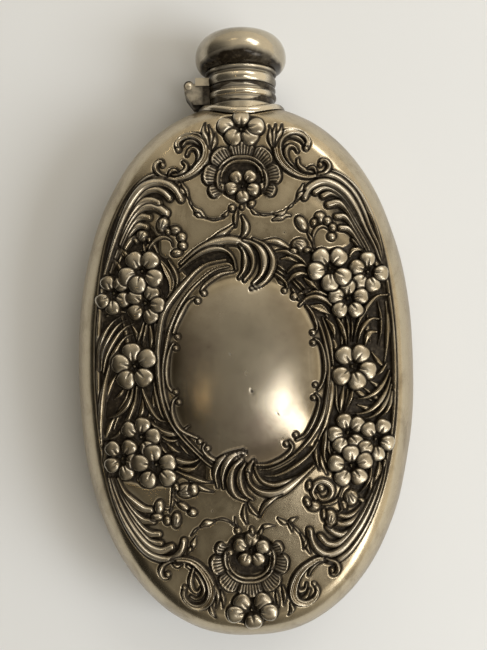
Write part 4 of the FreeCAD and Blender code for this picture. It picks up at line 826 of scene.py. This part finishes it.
class Net:
    """Short names for the nodes used below."""

    def __init__(self, nt):
        self.nt = nt
        self.coord = nt.nodes.new("ShaderNodeTexCoord").outputs["Object"]

    def link(self, a, b):
        self.nt.links.new(a, b)

    def put(self, socket, v):
        if isinstance(v, bpy.types.NodeSocket):
            self.link(v, socket)
        else:
            socket.default_value = v

    def noise(self, scale, detail=3.0, rough=0.55, stretch=None, distortion=0.0, turn=(0, 0, 0)):
        n = self.nt.nodes.new("ShaderNodeTexNoise")
        n.inputs["Scale"].default_value = scale
        n.inputs["Detail"].default_value = detail
        n.inputs["Roughness"].default_value = rough
        n.inputs["Distortion"].default_value = distortion
        src = self.coord
        if stretch:
            mp = self.nt.nodes.new("ShaderNodeMapping")
            mp.inputs["Scale"].default_value = stretch
            mp.inputs["Rotation"].default_value = turn
            self.link(self.coord, mp.inputs[0]); src = mp.outputs[0]
        self.link(src, n.inputs["Vector"])
        return n.outputs["Fac"] if "Fac" in n.outputs else n.outputs[0]

    def voronoi(self, scale, feature="F1", stretch=None):
        n = self.nt.nodes.new("ShaderNodeTexVoronoi")
        n.feature = feature
        n.inputs["Scale"].default_value = scale
        self.link(self.coord, n.inputs["Vector"])
        return n.outputs["Distance"]

    def span(self, v, a, b, c=0.0, d=1.0, smoothly=True):
        n = self.nt.nodes.new("ShaderNodeMapRange")
        n.interpolation_type = "SMOOTHSTEP" if smoothly else "LINEAR"
        self.put(n.inputs["Value"], v)
        for key, val in (("From Min", a), ("From Max", b), ("To Min", c), ("To Max", d)):
            n.inputs[key].default_value = val
        return n.outputs["Result"]

    def math(self, op, a, b=0.5):
        n = self.nt.nodes.new("ShaderNodeMath")
        n.operation = op
        self.put(n.inputs[0], a); self.put(n.inputs[1], b)
        return n.outputs[0]

    def mix(self, f, a, b):
        n = self.nt.nodes.new("ShaderNodeMix")
        n.data_type = "RGBA"
        self.put(n.inputs["Factor"], f)
        self.put([s for s in n.inputs if s.name == "A" and s.type == "RGBA"][0], a)
        self.put([s for s in n.inputs if s.name == "B" and s.type == "RGBA"][0], b)
        return [s for s in n.outputs if s.type == "RGBA"][0]

    def attribute(self, name):
        n = self.nt.nodes.new("ShaderNodeAttribute")
        n.attribute_name = name
        return n.outputs["Fac"]

    def axis(self, k):
        n = self.nt.nodes.new("ShaderNodeSeparateXYZ")
        self.link(self.coord, n.inputs[0])
        return n.outputs[k]

    def ramp(self, v, stops):
        n = self.nt.nodes.new("ShaderNodeValToRGB")
        cr = n.color_ramp
        while len(cr.elements) > 1:
            cr.elements.remove(cr.elements[-1])
        cr.elements[0].position = stops[0][0]; cr.elements[0].color = (stops[0][1],) * 3 + (1,)
        for p, c in stops[1:]:
            e = cr.elements.new(p); e.color = (c,) * 3 + (1,)
        self.link(v, n.inputs[0])
        return n.outputs[0]

    def bump(self, heights, normal_socket):
        """heights: (value, distance in metres, strength)."""
        prev = None
        for v, dist, strength in heights:
            n = self.nt.nodes.new("ShaderNodeBump")
            n.inputs["Strength"].default_value = strength
            n.inputs["Distance"].default_value = dist
            self.link(v, n.inputs["Height"])
            if prev is not None:
                self.link(prev, n.inputs["Normal"])
            prev = n.outputs[0]
        self.link(prev, normal_socket)


def scratches(net, scale, turn, low=0.66, high=0.74):
    """Long thin marks: noise stretched hard one way."""
    n = net.noise(scale, 2.0, 0.5, (1.0, 0.045, 0.3), 0.2, turn)
    return net.span(n, low, high)


SILVER = (0.68, 0.62, 0.505, 1)
SILVER_WARM = (0.58, 0.50, 0.36, 1)
SILVER_COOL = (0.53, 0.475, 0.42, 1)
# darkest colour: where the silver has oxidised, also used for painted dark reflection on the neck, collar and knob
OXIDE_AND_DARK_REFLECTION = (0.014, 0.010, 0.006, 1)


def silver(name, rough=0.24, oxide_and_dark_reflection=None, worn=None, tone=0.5, marks=1.0, extra=None, bright=1.0, gloss=None):
    """Old sterling: toned in broad clouds, hairline scratches, dark where it has oxidised, and dark where a reflection
    of dark surroundings is painted.
    """
    m, nt, b = new_material(name)
    net = Net(nt)
    cloud = net.noise(17, 2.0, 0.5)
    fine = net.noise(260, 4.0, 0.6)
    grain = net.noise(1500, 3.0, 0.6)
    tint = net.mix(net.span(cloud, 0.25, 0.8, 0.0, tone, False), tuple(c * bright for c in SILVER[:3]) + (1,), tuple(c * bright for c in SILVER_WARM[:3]) + (1,))
    tint = net.mix(net.span(net.noise(23, 2.0, 0.5, (1, 1.4, 1)), 0.35, 0.8, 0.0, 0.6 * tone, False), tint, SILVER_COOL)
    tint = net.mix(net.span(fine, 0.5, 0.8, 0.0, 0.12), tint, (0.42, 0.34, 0.25, 1))
    s1 = scratches(net, 420, (0.2, 0.1, 0.5)); s2 = scratches(net, 380, (0.1, 0.3, 2.1)); s3 = scratches(net, 300, (0.4, 0.2, 1.25), 0.68, 0.75)
    lines = net.math("MAXIMUM", net.math("MAXIMUM", s1, s2), s3)
    r = net.span(fine, 0.2, 0.8, rough - 0.03, rough + 0.05, False)
    r = net.math("ADD", r, net.span(cloud, 0.2, 0.8, -0.02, 0.03, False))
    r = net.math("ADD", r, net.math("MULTIPLY", lines, 0.10 * marks))
    metal = None
    if oxide_and_dark_reflection is not None:
        broken = net.span(fine, 0.2, 0.8, 0.93, 1.15)
        dark = net.math("MULTIPLY", oxide_and_dark_reflection(net), broken)
        dark_n = nt.nodes.new("ShaderNodeClamp"); net.link(dark, dark_n.inputs[0]); dark = dark_n.outputs[0]
        if worn is not None:
            tint = net.mix(worn(net), tint, (0.93, 0.88, 0.77, 1))
        if extra:
            tint = extra(net, tint)
        # dark mix: oxidised places, and on the neck, collar and knob also painted dark reflection
        tint = net.mix(dark, tint, net.mix(net.span(net.noise(1300, 4.0, 0.65), 0.45, 0.75), OXIDE_AND_DARK_REFLECTION, (0.060, 0.046, 0.030, 1)))
        r = net.math("ADD", r, net.math("MULTIPLY", dark, 0.22))
        metal = net.math("SUBTRACT", 1.0, net.math("MULTIPLY", dark, 0.9))
        b.inputs["Specular IOR Level"].default_value = 0.2
    if gloss:
        r = gloss(net, r)
    net.link(tint, b.inputs["Base Color"])
    net.link(r, b.inputs["Roughness"])
    if metal is None:
        b.inputs["Metallic"].default_value = 1.0
    else:
        net.link(metal, b.inputs["Metallic"])
    net.bump([(grain, 0.00002, 0.12), (net.span(fine, 0.2, 0.8, 0.0, 1.0, False), 0.000012, 0.15), (net.math("SUBTRACT", 1.0, lines), 0.000012, 0.5 * marks)], b.inputs["Normal"])
    return m


def relief_oxide(net):
    g = net.attribute("grime")
    return net.span(g, 0.06, 0.6, 0.0, 1.0)


def relief_worn(net):
    return net.math("MULTIPLY", net.span(net.attribute("crest"), 0.05, 0.8), 0.8)


def relief_tone(net, tint):
    """The ground keeps its brown tone, deeper close to the ornament; painted shade with some dirt darkens it down the
    flanks; what stands up has been rubbed paler.
    """
    low = net.span(net.attribute("raised"), 0.10, 0.45, 0.50, 0.0)
    tint = net.mix(low, tint, (0.46, 0.375, 0.228, 1))
    plain = net.math("SUBTRACT", 1.0, net.attribute("field"))
    near = net.math("MULTIPLY", net.math("MULTIPLY", net.attribute("halo"), net.span(net.noise(420, 4.0), 0.2, 0.8, 0.5, 0.9)), plain)
    tint = net.mix(near, tint, (0.19, 0.145, 0.085, 1))
    # painted shade down the steep flanks, mottled with dirt by noise
    flank_dirt_and_shade = net.math("MULTIPLY", net.attribute("flank"), net.span(net.noise(48, 5.0, 0.65, (1, 0.5, 1)), 0.30, 0.70, 0.30, 0.85))
    tint = net.mix(flank_dirt_and_shade, tint, (0.22, 0.165, 0.10, 1))
    spots = net.span(net.noise(900, 3.0, 0.6), 0.60, 0.78, 0.0, 0.35)
    tint = net.mix(spots, tint, (0.20, 0.15, 0.09, 1))
    blush = net.math("MULTIPLY", net.attribute("field"), net.span(net.noise(60, 4.0, 0.6), 0.38, 0.72, 0.0, 0.70))
    tint = net.mix(blush, tint, (0.36, 0.285, 0.235, 1))
    # painted dark reflection towards the cartouche's rim, most at its left and right sides, mottled as tarnish by noise
    edge = net.math("MULTIPLY", net.attribute("rim"), net.span(net.noise(95, 4.0, 0.6), 0.2, 0.7, 0.55, 1.0))
    tint = net.mix(edge, tint, (0.15, 0.118, 0.074, 1))
    smut = net.math("MULTIPLY", plain, net.span(net.noise(150, 6.0, 0.68, (1, 0.8, 1), 0.6), 0.44, 0.72, 0.0, 0.62))
    return net.mix(smut, tint, (0.21, 0.165, 0.105, 1))


def relief_gloss(net, r):
    """The plain field in the middle is the most handled and the smoothest; the flanks are dull."""
    r = net.math("SUBTRACT", r, net.math("MULTIPLY", net.attribute("field"), 0.07))
    r = net.math("ADD", r, net.span(net.attribute("raised"), 0.30, 0.9, 0.0, 0.09))
    return net.math("ADD", r, net.math("MULTIPLY", net.attribute("flank"), 0.14))


def neck_oxide(stops):
    """Dark lines at given heights along the neck (mm of Y), over the whole ring."""
    def build(net):
        y = net.span(net.axis(1), 0.046, 0.070, 0.0, 1.0, False)
        pts = [(0.0, 0.12)]
        for at, half, deep in sorted(stops):
            c = (at - 46) / 24; w = half / 24
            for p, v in ((c - w, 0.08), (c, deep), (c + w, 0.08)):
                if p > pts[-1][0] + 0.0015 and p < 1:
                    pts.append((p, v))
        return net.math("ADD", net.ramp(y, pts), net.span(net.noise(120, 3.0), 0.5, 0.75, 0.0, 0.16))
    return build


def dark_sides_reflection(net, low, high, deep):
    """Painted dark reflection round the neck's sides, fading out towards its front and back crowns, which stay bright.
    """
    z = net.math("ABSOLUTE", net.math("SUBTRACT", net.axis(2), 0.011))
    return net.math("MULTIPLY", net.span(z, high, low, 0.0, deep), net.span(net.noise(150, 4.0), 0.25, 0.6, 0.7, 1.05))


relief = silver("chased_silver", 0.19, relief_oxide, relief_worn, 0.5, 0.8, relief_tone, 1.0, relief_gloss)
front.data.materials.append(relief)

GROOVES = [(51.2, .35, .95), (52.3, .35, .9), (54.4, .35, .9), (55.65, .4, .98), (58.35, .45, .98), (59.45, .4, .95)]
rings = neck_oxide(GROOVES)
# dark grooves, and painted dark reflection round the neck's sides
ring_silver = silver("turned_silver", 0.13, lambda net: net.math("MAXIMUM", rings(net), dark_sides_reflection(net, 0.0040, 0.0064, 0.88)), None, 0.5, 0.7, None, 1.08)


def collar_dark_reflection_and_grooves(net):
    """Painted dark reflection round the sides, with the silver left bright in an oval on the front and the back; the
    grooves stay dark.
    """
    u = net.math("MULTIPLY", net.axis(0), 1 / 0.0046)
    v = net.math("MULTIPLY", net.math("SUBTRACT", net.axis(1), 0.0533), 1 / 0.0017)
    d = net.math("ADD", net.math("MULTIPLY", u, u), net.math("MULTIPLY", v, v))
    d = net.math("ADD", d, net.span(net.noise(260, 4.0), 0.3, 0.7, -0.25, 0.25))
    return net.math("MAXIMUM", rings(net), net.span(d, 0.75, 1.25, 0.05, 0.96))


collar_silver = silver("collar_silver", 0.15, collar_dark_reflection_and_grooves, None, 0.5, 0.7, None, 1.0, lambda net, r: net.math("MINIMUM", r, 0.20))


def knob_dark_reflection_and_tarnish(net):
    """Painted dark reflection under the knob's widest line, rising highest at the front and thinning to the sides, with
    light tarnish above.
    """
    x2 = net.math("MULTIPLY", net.math("MULTIPLY", net.axis(0), net.axis(0)), 22.0)
    y = net.math("ADD", net.math("ADD", net.axis(1), x2), net.span(net.noise(170, 3.0), 0.3, 0.7, -0.0003, 0.0003))
    band = net.math("MULTIPLY", net.span(y, 0.0631, 0.0613, 0.0, 0.97), net.span(net.math("ABSOLUTE", net.axis(0)), 0.0088, 0.0100, 1.0, 0.25))
    cap = net.span(net.noise(110, 3.0), 0.35, 0.8, 0.05, 0.45)
    return net.math("MAXIMUM", band, cap)


knob_silver = silver("knob_silver", 0.12, knob_dark_reflection_and_tarnish, None, 0.6, 0.8, None, 0.82, lambda net, r: net.math("MINIMUM", r, 0.17))


def flank_tone(net, tint):
    """The same brown tone as the front's flanks, so that the two halves read as one body."""
    return net.mix(net.span(net.noise(48, 5.0, 0.65, (1, 0.5, 1)), 0.30, 0.70, 0.30, 0.85), tint, (0.22, 0.165, 0.10, 1))


plain = silver("plain_silver", 0.29, lambda net: net.span(net.noise(70, 4.0), 0.6, 0.8, 0.0, 0.25), None, 0.6, 1.0, flank_tone)
inner = silver("inner_silver", 0.34, lambda net: net.span(net.noise(90, 4.0), 0.35, 0.75, 0.1, 0.65), None, 0.9, 0.5)
hinge_silver = silver("hinge_silver", 0.26, lambda net: net.span(net.noise(300, 3.0), 0.42, 0.72, 0.08, 0.55), None, 0.6, 0.6)


# dark mottling over the lower leaf, darker still on its side towards the collar
bracket_silver = silver("bracket_silver", 0.24, lambda net: net.math("MAXIMUM", net.span(net.noise(260, 4.0), 0.30, 0.62, 0.35, 0.92), net.span(net.axis(0), -0.0105, -0.0085, 0.0, 0.95)), None, 0.6, 0.6)


def cork_material():
    m, nt, b = new_material("cork")
    net = Net(nt)
    cells = net.voronoi(900)
    specks = net.voronoi(330)
    c = net.mix(net.noise(500, 4.0), (0.50, 0.33, 0.18, 1), (0.30, 0.18, 0.09, 1))
    c = net.mix(net.span(cells, 0.05, 0.5, 0.5, 0.0), c, (0.14, 0.08, 0.04, 1))
    c = net.mix(net.span(specks, 0.16, 0.1, 0.0, 0.8), c, (0.07, 0.04, 0.02, 1))
    net.link(c, b.inputs["Base Color"])
    net.link(net.span(net.noise(700, 3.0), 0.3, 0.7, 0.72, 0.95), b.inputs["Roughness"])
    net.bump([(cells, 0.00012, 0.5), (specks, 0.0002, 0.4)], b.inputs["Normal"])
    return m


FINISH = {
    "back_shell": plain, "neck_tube": inner, "mouth_ring": ring_silver, "neck_foot": ring_silver, "neck_foot_bead": ring_silver,
    "neck_bayonet_lugs": inner, "collar_retaining_ring": inner, "swivel_collar": collar_silver, "collar_bead": ring_silver,
    "lower_hinge_leaf": bracket_silver, "hinge_pin": hinge_silver, "cap_ferrule": ring_silver, "cap_bead_ring": ring_silver,
    "cap_trim_ring": ring_silver, "knob_upper": knob_silver, "knob_lower": knob_silver, "cork_backing_plate": inner,
    "cork_seal": cork_material(), "cap_bayonet_lugs": inner, "upper_hinge_leaf": hinge_silver}
for node, mat in FINISH.items():
    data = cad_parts[node].data
    if len(data.materials):
        for i in range(len(data.materials)):
            data.materials[i] = mat
    else:
        data.materials.append(mat)

# ------------------------------------------------------------------ table, light and camera
def floor_material():
    m, nt, b = new_material("pale_table")
    net = Net(nt)
    c = net.mix(net.noise(6, 3.0), (0.700, 0.712, 0.725, 1), (0.665, 0.675, 0.685, 1))
    net.link(c, b.inputs["Base Color"])
    net.link(net.span(net.noise(20, 2.0), 0.3, 0.7, 0.42, 0.55), b.inputs["Roughness"])
    return m


bpy.ops.mesh.primitive_plane_add(size=3.0, location=(0, 0, -0.0003))
floor = bpy.context.object
floor.name = "table_top"
floor.data.materials.append(floor_material())

world = bpy.data.worlds.new("room")
bpy.context.scene.world = world
world.use_nodes = True
wt = world.node_tree
wt.nodes.clear()
wo = wt.nodes.new("ShaderNodeOutputWorld"); bg = wt.nodes.new("ShaderNodeBackground")
wt.links.new(bg.outputs[0], wo.inputs[0])
tc = wt.nodes.new("ShaderNodeTexCoord"); sep = wt.nodes.new("ShaderNodeSeparateXYZ")
wt.links.new(tc.outputs["Generated"], sep.inputs[0])


def wmath(op, a, b):
    n = wt.nodes.new("ShaderNodeMath"); n.operation = op
    for i, v in enumerate((a, b)):
        if isinstance(v, bpy.types.NodeSocket):
            wt.links.new(v, n.inputs[i])
        else:
            n.inputs[i].default_value = v
    return n.outputs[0]


side = wmath("ADD", wmath("MULTIPLY", sep.outputs[0], 0.44), wmath("MULTIPLY", sep.outputs[1], 0.20))
dot = wt.nodes.new("ShaderNodeVectorMath"); dot.operation = "DOT_PRODUCT"
wt.links.new(tc.outputs["Generated"], dot.inputs[0])
dot.inputs[1].default_value = Vector((0.02, -0.13, 1.0)).normalized()
shade = wt.nodes.new("ShaderNodeMapRange"); shade.interpolation_type = "SMOOTHSTEP"
wt.links.new(dot.outputs["Value"], shade.inputs["Value"])
for key, val in (("From Min", 0.84), ("From Max", 0.975), ("To Min", 1.0), ("To Max", 0.27)):
    shade.inputs[key].default_value = val
front_dark = wt.nodes.new("ShaderNodeMapRange"); front_dark.interpolation_type = "SMOOTHSTEP"
wt.links.new(sep.outputs[1], front_dark.inputs["Value"])
for key, val in (("From Min", -0.98), ("From Max", -0.50), ("To Min", 0.38), ("To Max", 1.0)):
    front_dark.inputs[key].default_value = val
left = wt.nodes.new("ShaderNodeVectorMath"); left.operation = "DOT_PRODUCT"
wt.links.new(tc.outputs["Generated"], left.inputs[0])
left.inputs[1].default_value = Vector((-1.0, -0.22, 0.28)).normalized()
corner = wt.nodes.new("ShaderNodeMapRange"); corner.interpolation_type = "SMOOTHSTEP"
wt.links.new(left.outputs["Value"], corner.inputs["Value"])
for key, val in (("From Min", 0.36), ("From Max", 0.86), ("To Min", 1.0), ("To Max", 0.12)):
    corner.inputs[key].default_value = val
level = wmath("MULTIPLY", wmath("MAXIMUM", wmath("ADD", side, 0.74), 0.03), wmath("MULTIPLY", shade.outputs["Result"], front_dark.outputs["Result"]))
level = wmath("MULTIPLY", level, corner.outputs["Result"])
tone = wt.nodes.new("ShaderNodeMix"); tone.data_type = "RGBA"
wt.links.new(level, tone.inputs["Factor"])
[s for s in tone.inputs if s.name == "A" and s.type == "RGBA"][0].default_value = (0.0, 0.0, 0.0, 1)
[s for s in tone.inputs if s.name == "B" and s.type == "RGBA"][0].default_value = (1.0, 0.90, 0.72, 1)
wt.links.new([s for s in tone.outputs if s.type == "RGBA"][0], bg.inputs[0])
bg.inputs[1].default_value = 1.0


def area(name, place, aim, size, power, colour):
    d = bpy.data.lights.new(name, "AREA")
    d.shape = "RECTANGLE"; d.size, d.size_y = size
    d.energy = power; d.color = colour
    o = bpy.data.objects.new(name, d)
    o.location = place
    o.rotation_euler = (Vector(aim) - Vector(place)).to_track_quat("-Z", "Y").to_euler()
    bpy.context.scene.collection.objects.link(o)
    return o


key = area("key", (0.85, -0.25, 0.60), (0, 0, 0), (0.45, 0.45), 7.2, (0.92, 0.96, 1.0))
key.visible_glossy = False       # it lights the table; the metal mirrors the windows and the room
area("window", (0.37, -0.31, 1.0), (0, 0, 0), (0.17, 0.42), 1.25, (1.0, 0.97, 0.92))
area("window_low", (0.62, -0.58, 0.62), (0, 0, 0), (0.30, 0.36), 1.8, (1.0, 0.98, 0.94))
area("window_far", (0.42, 0.58, 0.68), (0, 0, 0), (0.46, 0.24), 1.25, (1.0, 0.98, 0.95))
area("lamp", (-0.30, -0.16, 0.90), (0, 0, 0), (0.009, 0.085), 0.028, (1.0, 0.72, 0.36))
for i, place in enumerate([(-0.34, 0.60, 0.62), (-0.25, 0.645, 0.62), (-0.15, 0.67, 0.63)]):
    area("spot_%d" % i, place, (0, 0.05, 0), (0.03, 0.03), 0.035, (1.0, 0.80, 0.5))

cam_data = bpy.data.cameras.new("camera")
cam = bpy.data.objects.new("camera", cam_data)
bpy.context.scene.collection.objects.link(cam)
cam_data.sensor_fit = "VERTICAL"
cam_data.sensor_height = 24.0
cam_data.lens = 0.5 * 24.0 / math.tan(math.radians(44.4 / 2))
cam.location = (-0.0004, 0.0010, 0.196)
cam.rotation_euler = (0, 0, math.radians(-1.0))
cam_data.dof.use_dof = False
cam_data.clip_start = 0.01
bpy.context.scene.camera = cam
bpy.context.scene.view_settings.view_transform = "Standard"
